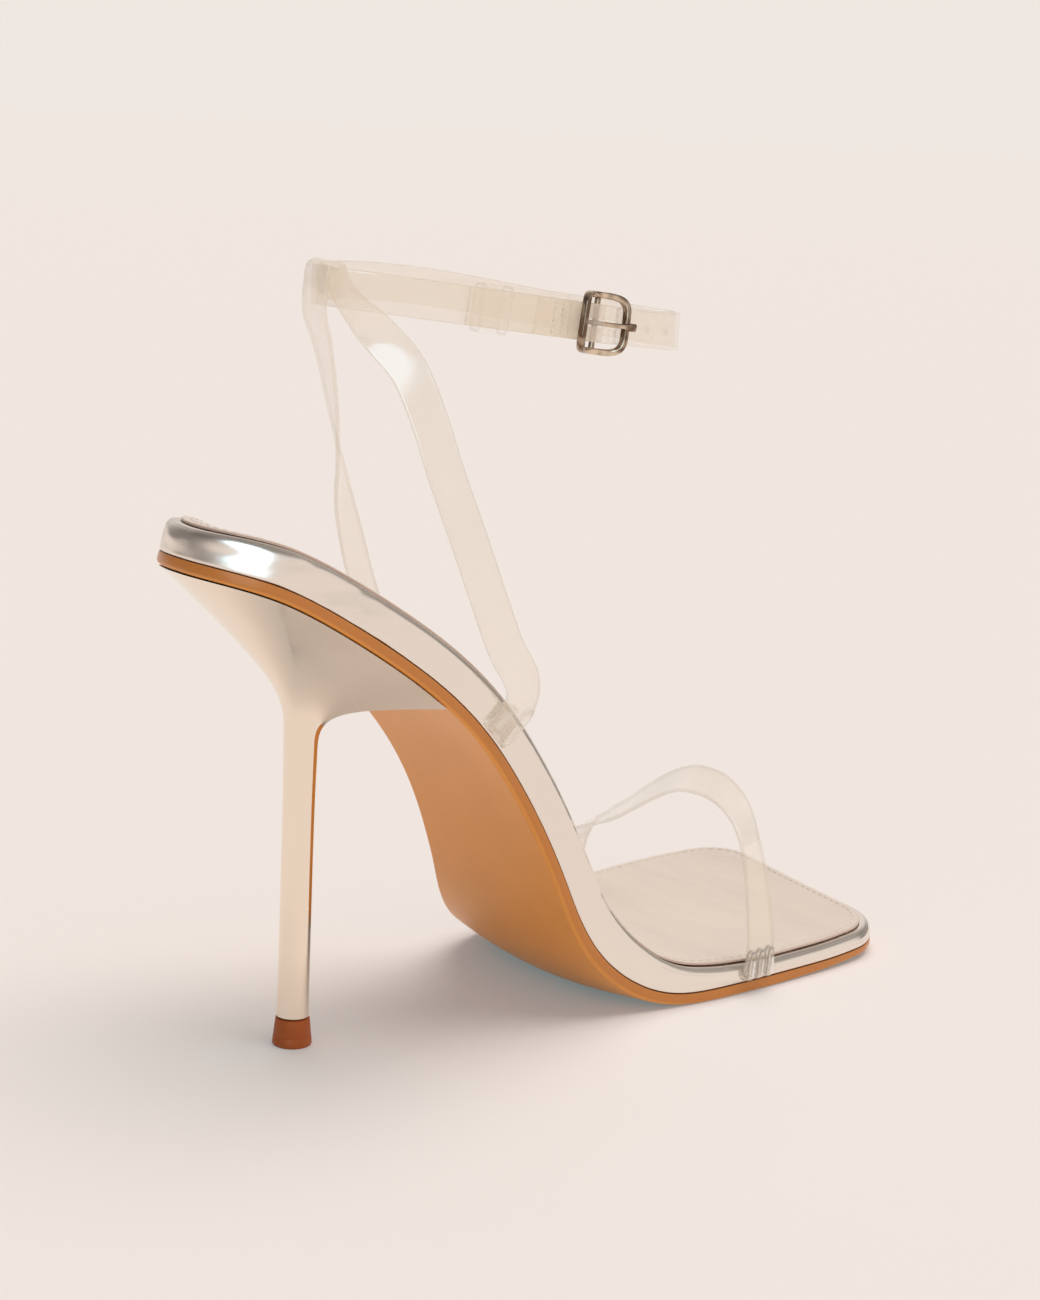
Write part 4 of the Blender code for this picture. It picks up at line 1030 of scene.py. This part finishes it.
def stitches(name, slot, centres, ahead, up, length, radius=0.16, sides=6):
    """A row of stitches: each is a low ellipsoid that lies along its direction."""
    rings = np.radians(np.linspace(-90, 90, 7)[1:-1])
    turn = np.linspace(0, 2 * math.pi, sides, endpoint=False)
    shape = [np.array([[-1, 0, 0]])]
    for ring in rings:
        shape.append(np.stack([np.full(sides, math.sin(ring)), math.cos(ring) * np.cos(turn),
                               math.cos(ring) * np.sin(turn)], -1))
    shape = np.vstack(shape + [np.array([[1, 0, 0]])]) * (length / 2, radius, radius)
    side = np.cross(up, ahead)
    points = (centres[:, None, :] + shape[None, :, :1] * ahead[:, None, :]
              + shape[None, :, 1:2] * side[:, None, :] + shape[None, :, 2:] * up[:, None, :])
    count = len(shape)
    body = grid_quads(len(rings), sides, 1, round_columns=True)
    fan, beside = np.arange(sides), (np.arange(sides) + 1) % sides
    last = count - 1 - sides
    caps = np.vstack([np.stack([0 * fan, 1 + beside, 1 + fan], -1),
                      np.stack([0 * fan + count - 1, last + fan, last + beside], -1)])
    shift = (np.arange(len(centres)) * count)[:, None, None]
    faces = [(body[None] + shift).reshape(-1, 4), (caps[None] + shift).reshape(-1, 3)]
    return Piece(name, slot, points.reshape(-1, 3), faces, sharp=80.0)


def sock_stitches(creases, inset, pitch):
    """Stitches on the sock, at even steps along a line inside its border."""
    station, across = sole_grid(SOCK_INSET + inset)
    border = border_index(*station.shape)

    def line(share):
        base, place = station[border], share * across[border]
        return lift(base, place, sock_height(base, place, creases) + SOCK_THICKNESS)

    rows = np.hstack([line(1.0), line(0.9) - line(1.0)])
    rows = even_path(np.vstack([rows, rows[:1]]), pitch)[:-1]
    ahead = unit(np.roll(rows[:, :3], -1, 0) - np.roll(rows[:, :3], 1, 0))
    up = unit(np.cross(ahead, rows[:, 3:]))
    up *= np.sign(up[:, 2:])
    return stitches("sock_stitching", "sock_metallic", rows[:, :3] + 0.04 * up, ahead, up,
                    0.66 * pitch)


def fold_stitches(pitch):
    """Two rows of stitches through the ankle strap where its folded end is closed."""
    ups = np.arange(-0.38, 0.39, pitch / STRAP_WIDTH) * STRAP_WIDTH
    along = np.repeat([-0.86 * FOLD_LENGTH, -0.72 * FOLD_LENGTH], len(ups))
    up = np.tile(ups, 2)
    place = BUCKLE_PLACE + along
    out = LOOP.outward(place)
    surface = buckle_point(along, np.full(len(along), STRAP_THICKNESS / 2 + 0.06), up)
    return stitches("fold_stitching", "strap_clear", surface, LOOP.upward(place), out,
                    0.7 * pitch)


class Socket:
    """A value in a material: Python's operators add the Math nodes that work it out."""

    def __init__(self, book, link):
        self.book, self.link = book, link

    def _maths(self, operation, *values):
        return self.book.add("ShaderNodeMath", {"operation": operation},
                             {i: v for i, v in enumerate(values)})[0]

    def __add__(self, other):
        return self._maths("ADD", self, other)

    def __sub__(self, other):
        return self._maths("SUBTRACT", self, other)

    def __rsub__(self, other):
        return self._maths("SUBTRACT", other, self)

    def __mul__(self, other):
        return self._maths("MULTIPLY", self, other)

    def __pow__(self, other):
        return self._maths("POWER", self, other)

    def clamped(self, low=0.0, high=1.0):
        """The value kept between two limits."""
        return self._maths("MINIMUM", self._maths("MAXIMUM", self, low), high)

    __radd__, __rmul__ = __add__, __mul__


class NodeBook:
    """A tree of nodes in the making. Its add method makes any node and links its sockets."""

    def __init__(self, tree):
        self.tree = tree

    def add(self, kind, settings=None, inputs=None):
        """A node's outputs: settings are set first, then each named input is set or linked."""
        node = self.tree.nodes.new(kind)
        for key, value in (settings or {}).items():
            setattr(node, key, value)
        for key, value in (inputs or {}).items():
            self.join(node.inputs[key], value)
        return [Socket(self, out) for out in node.outputs]

    def join(self, socket, value):
        """Links a value to a socket, or sets the socket."""
        if isinstance(value, Socket):
            self.tree.links.new(value.link, socket)
        elif isinstance(value, (tuple, list)) and len(value) == 3 and socket.type == "RGBA":
            socket.default_value = (*value, 1.0)
        else:
            socket.default_value = value

    def mix(self, share, one, other):
        """A colour between two, by a share."""
        node = self.tree.nodes.new("ShaderNodeMix")
        node.data_type = "RGBA"
        for key, value in ((0, share), (6, one), (7, other)):
            self.join(node.inputs[key], value)
        return Socket(self, node.outputs[2])

    def ramp(self, value, low, high):
        """Rises smoothly from 0 to 1 as the value goes from low to high."""
        return self.add("ShaderNodeMapRange", {"interpolation_type": "SMOOTHSTEP"},
                        {"Value": value, "From Min": low, "From Max": high})[0]

    def noise(self, scale, detail=2.0, roughness=0.5, vector=None):
        """Soft noise, from 0 to 1, with features of 1/scale of the vector's unit."""
        return self.add("ShaderNodeTexNoise", None,
                        {"Vector": vector or self.places(), "Scale": scale, "Detail": detail,
                         "Roughness": roughness})[0]


class MaterialBook(NodeBook):
    """A material in the making, on a Principled shader."""

    def __init__(self, name, **fixed):
        self.material = bpy.data.materials.new(name)
        self.material.use_nodes = True
        super().__init__(self.material.node_tree)
        self.shader = self.tree.nodes["Principled BSDF"]
        for socket, value in fixed.items():
            self.shader.inputs[socket.replace("_", " ")].default_value = value

    def places(self):
        """Object coordinates, in metres."""
        return self.add("ShaderNodeTexCoord")[3]

    def attribute(self, name):
        """The three parts of a vector that a piece keeps on its points."""
        vector = self.add("ShaderNodeAttribute", {"attribute_name": name})[1]
        return self.add("ShaderNodeSeparateXYZ", None, {0: vector})

    def stretched(self, scale):
        """Object coordinates stretched by a scale for each axis."""
        return self.add("ShaderNodeMapping", None,
                        {"Vector": self.places(), "Scale": scale})[0]

    def grain(self, scale):
        """Distance to the nearest of scattered points, for leather's pebbles."""
        return self.add("ShaderNodeTexVoronoi", {"feature": "SMOOTH_F1"},
                        {"Vector": self.places(), "Scale": scale})[0]

    def bump(self, height, distance, strength=1.0, after=None):
        """A normal from a height, whose full range is a distance in metres."""
        inputs = {"Height": height, "Distance": distance, "Strength": strength}
        if after is not None:
            inputs["Normal"] = after
        return self.add("ShaderNodeBump", None, inputs)[0]

    def facing(self, blend=0.5):
        """Share that grows towards the outline, for a clear sheet's rims."""
        return self.add("ShaderNodeLayerWeight", None, {"Blend": blend})[1]

    def set(self, **sockets):
        """Links or sets the shader's own sockets."""
        for name, value in sockets.items():
            self.join(self.shader.inputs[name.replace("_", " ")], value)
        return self.material


def scaled(colour, share):
    """A colour made darker or lighter by a share."""
    return tuple(share * c for c in colour)


def mirror_wrap(colour):
    """Mirror-finished synthetic leather: a thin metal foil on a faintly uneven ground.

    Round the heel end the foil is duller and its waves are higher.
    """
    book = MaterialBook("footbed mirror wrapping", Metallic=1.0)
    station, _, seam = book.attribute("place")
    cloud = book.noise(38.0, 3.0)
    fine = book.noise(900.0, 2.0)
    waves = book.noise(130.0, 1.5, vector=book.stretched((0.22, 0.3, 1.0)))
    heel_end = 1.0 - book.ramp(station, 25.0, 60.0)
    tone = book.mix(cloud * 0.5, colour, scaled(colour, 0.92))
    tone = book.mix(seam * 0.22, tone, (0.16, 0.12, 0.10))
    normal = book.bump(waves * (1.0 + heel_end * 4.0), 0.0005)
    normal = book.bump(fine, 0.00002, 0.6, normal)
    return book.set(Base_Color=tone, Normal=normal,
                    Roughness=cloud * 0.06 + fine * 0.04 + heel_end * 0.17 + 0.07)


def satin_sock(colour):
    """Satin metallic sock leather: pebbled grain, creases and a raw brown cut edge."""
    book = MaterialBook("sock satin", Coat_Roughness=0.3)
    edge = book.attribute("place")[2]
    cloud = book.noise(26.0, 4.0)
    pebbles = book.grain(1500.0)
    streak = book.noise(60.0, 4.0, 0.6, book.stretched((2.2, 0.5, 0.5)))
    tone = book.mix(book.ramp(streak, 0.35, 0.75) * 0.32, colour, scaled(colour, 0.86))
    tone = book.mix(book.ramp(cloud, 0.55, 0.8) * 0.35, tone, (0.86, 0.80, 0.74))
    tone = book.mix(book.ramp(edge, 0.3, 0.8) * 0.5, tone, (0.52, 0.28, 0.19))
    normal = book.bump(streak, 0.0005, 0.5)
    normal = book.bump(pebbles, 0.00007, 0.5, normal)
    return book.set(Base_Color=tone, Metallic=0.5 - book.ramp(edge, 0.2, 0.6) * 0.5,
                    Roughness=cloud * 0.10 + pebbles * 0.08 + 0.26, Normal=normal)


def tan_leather(colour):
    """Smooth tan sole leather: fine grain, cloudy dye and a darker waxed edge."""
    book = MaterialBook("outsole tan leather", Coat_Weight=0.05, Coat_Roughness=0.25,
                        Specular_IOR_Level=0.35)
    edge = book.attribute("place")[2]
    cloud = book.noise(22.0, 4.0, 0.6)
    fine = book.noise(1400.0, 3.0)
    grain = book.grain(2600.0)
    tone = book.mix(book.ramp(cloud, 0.3, 0.75) * 0.45, colour, scaled(colour, 0.78))
    tone = book.mix(fine * 0.18, tone, scaled(colour, 1.15))
    side = book.ramp(edge, 0.25, 0.5)
    tone = book.mix(side * 0.6, tone, (0.48, 0.160, 0.038))
    tone = book.mix(book.ramp(edge, 0.9, 1.0) * 0.7, tone, (0.17, 0.06, 0.025))
    normal = book.bump(grain, 0.00006, 0.5)
    normal = book.bump(cloud, 0.0003, 0.3, normal)
    return book.set(Base_Color=tone, Roughness=cloud * 0.12 + 0.30 - side * 0.06,
                    Normal=normal)


def mirror_plate(name, colour, roughness, waves, tarnish_and_painted_reflection=0.0):
    """Bright metal plating with faint polishing marks; where a piece is marked it is painted with
    dark reflections, and mottled dark patches are added.
    """
    book = MaterialBook(name, Metallic=1.0)
    marks = book.noise(420.0, 3.0, 0.6, book.stretched((1.0, 1.0, 0.12)))
    cloud = book.noise(30.0, 2.0)
    tone = book.mix(cloud * 0.4, colour, scaled(colour, 0.93))
    if tarnish_and_painted_reflection:
        # mottled dark patches in the plating itself
        patch = book.ramp(book.noise(330.0, 1.0), 0.42, 0.66) * 0.5
        # the piece's marks paint dark reflections, added to the mottled patches
        share = book.attribute("place")[2] * tarnish_and_painted_reflection + patch
        tone = book.mix(share.clamped(0.0, 0.95), tone, (0.13, 0.075, 0.045))
    normal = book.bump(cloud, 0.0016 * waves)
    normal = book.bump(marks, 0.00001, 0.4, normal)
    return book.set(Base_Color=tone, Roughness=marks * 0.05 + roughness, Normal=normal)


def moulded_lift(colour):
    """Moulded brown lift: a fine even grain with scuffs towards the ground."""
    book = MaterialBook("top lift brown", Specular_IOR_Level=0.25)
    grain = book.noise(2200.0, 3.0)
    scuff = book.noise(500.0, 4.0)
    height = book.add("ShaderNodeSeparateXYZ", None, {0: book.places()})[2]
    worn = book.ramp(scuff, 0.55, 0.7) * (1.0 - book.ramp(height, 0.0, 0.0025))
    tone = book.mix(grain * 0.35, colour, scaled(colour, 0.6))
    tone = book.mix(worn * 0.6, tone, (0.42, 0.22, 0.13))
    return book.set(Base_Color=tone, Roughness=grain * 0.15 + 0.38,
                    Normal=book.bump(grain, 0.00005, 0.6))


def clear_plastic(name, colour, body, rim, grow, painted_fold_strength):
    """Clear soft plastic: faintly beige, denser at its cut edges and outline, with painted dark
    lines and painted highlights on its gathers, and a painted sheen that whitens its outline.
    """
    book = MaterialBook(name, IOR=2.4, Coat_Weight=1.0, Coat_IOR=1.8, Coat_Roughness=0.03)
    edge = book.attribute("place")[2]
    fold = book.add("ShaderNodeAttribute", {"attribute_name": "fold"})[2]
    cloud = book.noise(70.0, 3.0)
    ripple = book.noise(120.0, 2.0)
    facing = book.facing(0.35)
    # painted dark lines on the gathers' slopes, standing in for shade and dark reflections in the
    # folds
    line = book.ramp(fold, 0.02, 0.16) * (1.0 - book.ramp(fold, 0.20, 0.46))
    # painted highlights on the tops of the gathers' ridges
    painted_crest_highlight = book.ramp(fold, 0.66, 0.94)
    shown = cloud * 0.08 + (body - 0.04) + edge * rim + (facing ** 3.0) * grow
    # the painted fold lines and ridge highlights also make the plastic denser there
    shown = shown + line * (0.62 * painted_fold_strength) + painted_crest_highlight * (0.60 * painted_fold_strength)
    tone = book.mix(edge * 0.5, colour, scaled(colour, 0.72))
    # painted sheen: the colour whitens towards the outline
    tone = book.mix((facing ** 4.0) * 0.6, tone, (0.95, 0.92, 0.88))
    # painted dark fold lines, then painted white ridge highlights
    tone = book.mix(line * (0.9 * painted_fold_strength), tone, (0.13, 0.095, 0.075))
    tone = book.mix(painted_crest_highlight * (0.9 * painted_fold_strength), tone, (0.98, 0.98, 1.0))
    return book.set(Base_Color=tone, Alpha=shown.clamped(0.0, 0.96),
                    Roughness=cloud * 0.05 + 0.05, Normal=book.bump(ripple, 0.00022, 0.5))


def thread(name, colour):
    """Twisted thread with a slight shine."""
    book = MaterialBook(name)
    twist = book.noise(4500.0, 2.0)
    tone = book.mix(twist * 0.6, colour, scaled(colour, 0.7))
    return book.set(Base_Color=tone, Roughness=twist * 0.2 + 0.4,
                    Normal=book.bump(twist, 0.00005, 0.7))


def tint(name, what, default):
    """A colour that the user can change."""
    return bpy.props.FloatVectorProperty(name=name, description=what, subtype="COLOR", size=3,
                                         min=0.0, max=1.0, default=default)


def amount(name, what, default, low, high, **more):
    """A number that the user can change."""
    return bpy.props.FloatProperty(name=name, description=what, default=default, min=low,
                                   max=high, **more)


class SandalSizes(bpy.types.PropertyGroup):
    """Sizes of the details, in millimetres."""
    seam: amount("Seam groove", "Depth of the groove in the rolled edge, in mm", 0.06, 0.0, 0.5)
    dents: amount("Padding dents", "Height of the rolled edge's waves, in mm", 0.045, 0.0, 0.3)
    creases: amount("Sock creases", "Height of the sock's creases, in mm", 0.045, 0.0, 0.15)
    stitch_inset: amount("Stitch inset", "Stitches inside the sock's edge, in mm", 1.6, 0.8, 5.0)
    stitch_pitch: amount("Stitch pitch", "Spacing of the sock's stitches, in mm", 2.4, 1.0, 4.0)
    fold_pitch: amount("Fold stitch pitch", "Spacing of the fold's stitches, in mm", 1.2, 0.6, 3.0)
    pucker: amount("Toe strap gathers", "Height of the toe strap's ridges, in mm", 1.0, 0.0, 1.2)
    sling_pucker: amount("Sling gathers", "Height of the sling's ridges, in mm", 0.5, 0.0, 1.2)


class SandalColours(bpy.types.PropertyGroup):
    """Colours of the sandal's finishes."""
    wrapping: tint("Wrapping", "Mirror wrapping of the footbed", (0.90, 0.83, 0.755))
    sock: tint("Sock", "Satin sock", (0.93, 0.80, 0.69))
    leather: tint("Leather", "Tan outsole", (0.82, 0.335, 0.068))
    heel: tint("Heel", "Plated heel", (0.93, 0.815, 0.685))
    lift: tint("Lift", "Top lift", (0.44, 0.105, 0.022))
    plastic: tint("Plastic", "Clear straps", (1.0, 0.87, 0.68))
    buckle: tint("Buckle", "Pale gold buckle", (0.88, 0.71, 0.54))
    stitch: tint("Stitch", "Thread", (0.92, 0.84, 0.75))
    floor: tint("Floor", "Floor and backdrop", (0.862, 0.799, 0.753))


class StageLight(bpy.types.PropertyGroup):
    """The studio's light."""
    key: amount("Key", "Strength of the overhead light", 2.13, 0.0, 20.0)
    side: amount("Side", "Brightness of the side light that gloss mirrors", 3.2, 0.0, 20.0)
    glow: amount("Glow", "Share of the floor's brightness that is even", 0.18, 0.0, 1.0)


def finish_colour(name):
    """A colour of the panel, by its name."""
    return tuple(getattr(bpy.context.scene.sandal_colours, name))


class SANDAL_OT_outsole(bpy.types.Operator):
    """Makes the tan leather outsole"""
    bl_idname = "sandal.outsole"
    bl_label = "Outsole"

    def execute(self, context):
        outsole_piece().make(tan_leather(finish_colour("leather")), ("outsole",))
        return {"FINISHED"}


class SANDAL_OT_footbed(bpy.types.Operator):
    """Makes the wrapped footbed, its sock and the sock's stitches"""
    bl_idname = "sandal.footbed"
    bl_label = "Footbed and sock"

    def execute(self, context):
        sizes = context.scene.sandal_sizes
        footbed_piece(sizes.seam, sizes.dents).make(mirror_wrap(finish_colour("wrapping")),
                                                    ("footbed",))
        sock_piece(sizes.creases).make(satin_sock(finish_colour("sock")), ("insole_sock",))
        sewn = sock_stitches(sizes.creases, sizes.stitch_inset, sizes.stitch_pitch)
        sewn.make(thread("sock thread", finish_colour("stitch")))
        return {"FINISHED"}


class SANDAL_OT_heel(bpy.types.Operator):
    """Makes the plated heel and its top lift"""
    bl_idname = "sandal.heel"
    bl_label = "Heel and top lift"

    def execute(self, context):
        plate = mirror_plate("heel mirror plating", finish_colour("heel"), 0.04, 0.5)
        heel_piece().make(plate, ("heel",))
        lift_piece().make(moulded_lift(finish_colour("lift")), ("top_lift",))
        return {"FINISHED"}


class SANDAL_OT_straps(bpy.types.Operator):
    """Makes the clear toe strap, sling, ankle strap and keeper"""
    bl_idname = "sandal.straps"
    bl_label = "Straps"

    def execute(self, context):
        sizes, colour = context.scene.sandal_sizes, finish_colour("plastic")
        # The last number sets the strength of each plastic's painted fold lines and ridge
        # highlights.
        toe = clear_plastic("toe strap clear plastic", colour, 0.25, 0.12, 0.22, 1.0)
        clear = clear_plastic("strap clear plastic", colour, 0.25, 0.12, 0.22, 0.30)
        ring = clear_plastic("keeper clear plastic", colour, 0.05, 0.14, 0.03, 0.0)
        toe_strap_piece(sizes.pucker).make(toe, ("toe_strap",))
        sling_piece(sizes.sling_pucker).make(clear, ("sling_strap",))
        piece, cuts = ankle_strap_piece()
        cut_out(piece.make(clear, ("ankle_strap",)), cuts)
        keeper_piece().make(ring, ("keeper",))
        fold_stitches(sizes.fold_pitch).make(thread("fold thread", (0.86, 0.84, 0.80)))
        return {"FINISHED"}


class SANDAL_OT_buckle(bpy.types.Operator):
    """Makes the buckle's frame and prong"""
    bl_idname = "sandal.buckle"
    bl_label = "Buckle"

    def execute(self, context):
        # 1.0: the pieces' marks are painted as dark reflections, with mottled dark patches added
        gold = mirror_plate("buckle pale gold", finish_colour("buckle"), 0.07, 0.2, 1.0)
        buckle_frame_piece().make(gold, ("buckle_frame",))
        prong_piece().make(gold, ("buckle_prong",))
        return {"FINISHED"}


def studio_world(pale, side):
    """Surroundings: pale up to a height and dark overhead, with dark patches to the sides.

    The camera itself sees the plain pale backdrop, and the rest shows in the shoe. The side
    light, a bluish bright patch with soft edges, shows in gloss alone.
    """
    world = bpy.data.worlds.new("studio")
    bpy.context.scene.world = world
    world.use_nodes = True
    book = NodeBook(world.node_tree)
    way = book.add("ShaderNodeTexCoord")[0]

    def toward(direction, low, high):
        near = book.add("ShaderNodeVectorMath", {"operation": "DOT_PRODUCT"},
                        {0: way, 1: tuple(Vector(direction).normalized())})[1]
        return book.ramp(near, low, high)

    height = book.add("ShaderNodeSeparateXYZ", None, {0: way})[2]
    level = 1.0 - book.ramp(height, 0.34, 0.52) * 0.38 - book.ramp(height, 0.52, 0.75) * 0.26
    for direction, low, high, depth in DARK_PATCHES:
        level = level * (1.0 - toward(direction, low, high) * depth)
    cloud = book.noise(1.6, 1.0, vector=way)
    level = level * (0.80 + book.ramp(cloud, 0.35, 0.65) * 0.20)
    tone = book.mix(level, (0.055, 0.045, 0.04), pale)
    rays = book.add("ShaderNodeLightPath")
    of_camera, of_gloss = rays[0], rays[3]
    tone = book.mix(toward(*SIDE_LIGHT[:3]) * of_gloss, tone, scaled(SIDE_LIGHT[3], side))
    book.join(world.node_tree.nodes["Background"].inputs[0], book.mix(of_camera, tone, pale))


def studio_floor(pale, glow):
    """A round floor that fades into the surroundings towards its rim."""
    rings = np.concatenate([[0.0], np.geomspace(0.3, 7.0, 24)])
    angle = np.linspace(0, 2 * math.pi, 96, endpoint=False)
    points = np.stack([rings[:, None] * np.cos(angle), rings[:, None] * np.sin(angle),
                       np.zeros((len(rings), len(angle)))], -1).reshape(-1, 3)
    quads = grid_quads(len(rings), len(angle), round_columns=True, flip=True)
    mesh = bpy.data.meshes.new("floor")
    mesh.from_pydata(points.tolist(), [], quads.tolist())
    book = MaterialBook("floor pale", Roughness=0.9, Specular_IOR_Level=0.0)
    x, y = book.add("ShaderNodeSeparateXYZ", None, {0: book.places()})[:2]
    far = book.ramp((x * x + y * y) ** 0.5, 1.2, 5.5)
    even = tuple(c * share for c, share in zip(pale, (0.40, 1.0, 1.28)))
    lit = tuple(c - glow * e for c, e in zip(pale, even))
    book.set(Base_Color=lit, Emission_Color=even, Alpha=1.0 - far)
    book.shader.inputs["Emission Strength"].default_value = glow
    mesh.materials.append(book.material)
    placed("floor", mesh)


class SANDAL_OT_stage(bpy.types.Operator):
    """Makes the pale floor, the surroundings, the overhead light and the camera"""
    bl_idname = "sandal.stage"
    bl_label = "Stage"

    def execute(self, context):
        light, pale = context.scene.sandal_light, finish_colour("floor")
        context.scene.view_settings.view_transform = "Standard"
        context.scene.cycles.transparent_max_bounces = CLEAR_LAYERS
        studio_world(pale, light.side)
        studio_floor(pale, light.glow)
        place, target, width, colour = OVERHEAD_LIGHT
        sky = bpy.data.lights.new("overhead light", "SUN")
        sky.energy, sky.angle, sky.color = light.key, math.radians(width), colour
        lamp = placed("overhead light", sky)
        lamp.location, lamp.visible_glossy = place, False
        lamp.rotation_euler = (Vector(target) - Vector(place)).to_track_quat("-Z", "Y").to_euler()
        forward, right = Vector(CAMERA_FORWARD), Vector(CAMERA_RIGHT)
        up = right.cross(forward)
        forward = (forward + CAMERA_TURN[0] * right + CAMERA_TURN[1] * up).normalized()
        right = (right - right.dot(forward) * forward).normalized()
        up = right.cross(forward)
        data = bpy.data.cameras.new("camera")
        data.lens, data.sensor_width = CAMERA_LENS, 36.0
        camera = placed("camera", data)
        turn = Matrix((right, up, -forward)).transposed().to_4x4()
        camera.matrix_world = Matrix.Translation(Vector(CAMERA_PLACE) * MM) @ turn
        context.scene.camera = camera
        return {"FINISHED"}


class SANDAL_PT_panel(bpy.types.Panel):
    """Sizes, colours and light of the sandal, and its steps"""
    bl_label = "Sandal"
    bl_idname = "SANDAL_PT_panel"
    bl_space_type = "VIEW_3D"
    bl_region_type = "UI"
    bl_category = "Sandal"

    def draw(self, context):
        for group in GROUPS:
            box = self.layout.box()
            holder = getattr(context.scene, group)
            for name in type(holder).__annotations__:
                box.prop(holder, name)
        for step in STEPS:
            self.layout.operator(step.bl_idname)


STEPS = (SANDAL_OT_stage, SANDAL_OT_outsole, SANDAL_OT_footbed, SANDAL_OT_heel,
         SANDAL_OT_straps, SANDAL_OT_buckle)
GROUPS = {"sandal_sizes": SandalSizes, "sandal_colours": SandalColours,
          "sandal_light": StageLight}
CLASSES = (*GROUPS.values(), *STEPS, SANDAL_PT_panel)


def register():
    """Adds the classes and the scene's settings to Blender."""
    for item in CLASSES:
        bpy.utils.register_class(item)
    for name, group in GROUPS.items():
        setattr(bpy.types.Scene, name, bpy.props.PointerProperty(type=group))


def unregister():
    """Takes the settings and the classes out again."""
    for name in GROUPS:
        delattr(bpy.types.Scene, name)
    for item in reversed(CLASSES):
        bpy.utils.unregister_class(item)


def main():
    """Makes the stage and every piece."""
    register()
    bpy.ops.sandal.stage()
    bpy.ops.sandal.outsole()
    bpy.ops.sandal.footbed()
    bpy.ops.sandal.heel()
    bpy.ops.sandal.straps()
    bpy.ops.sandal.buckle()
    bpy.context.view_layer.update()


if __name__ == "__main__":
    main()
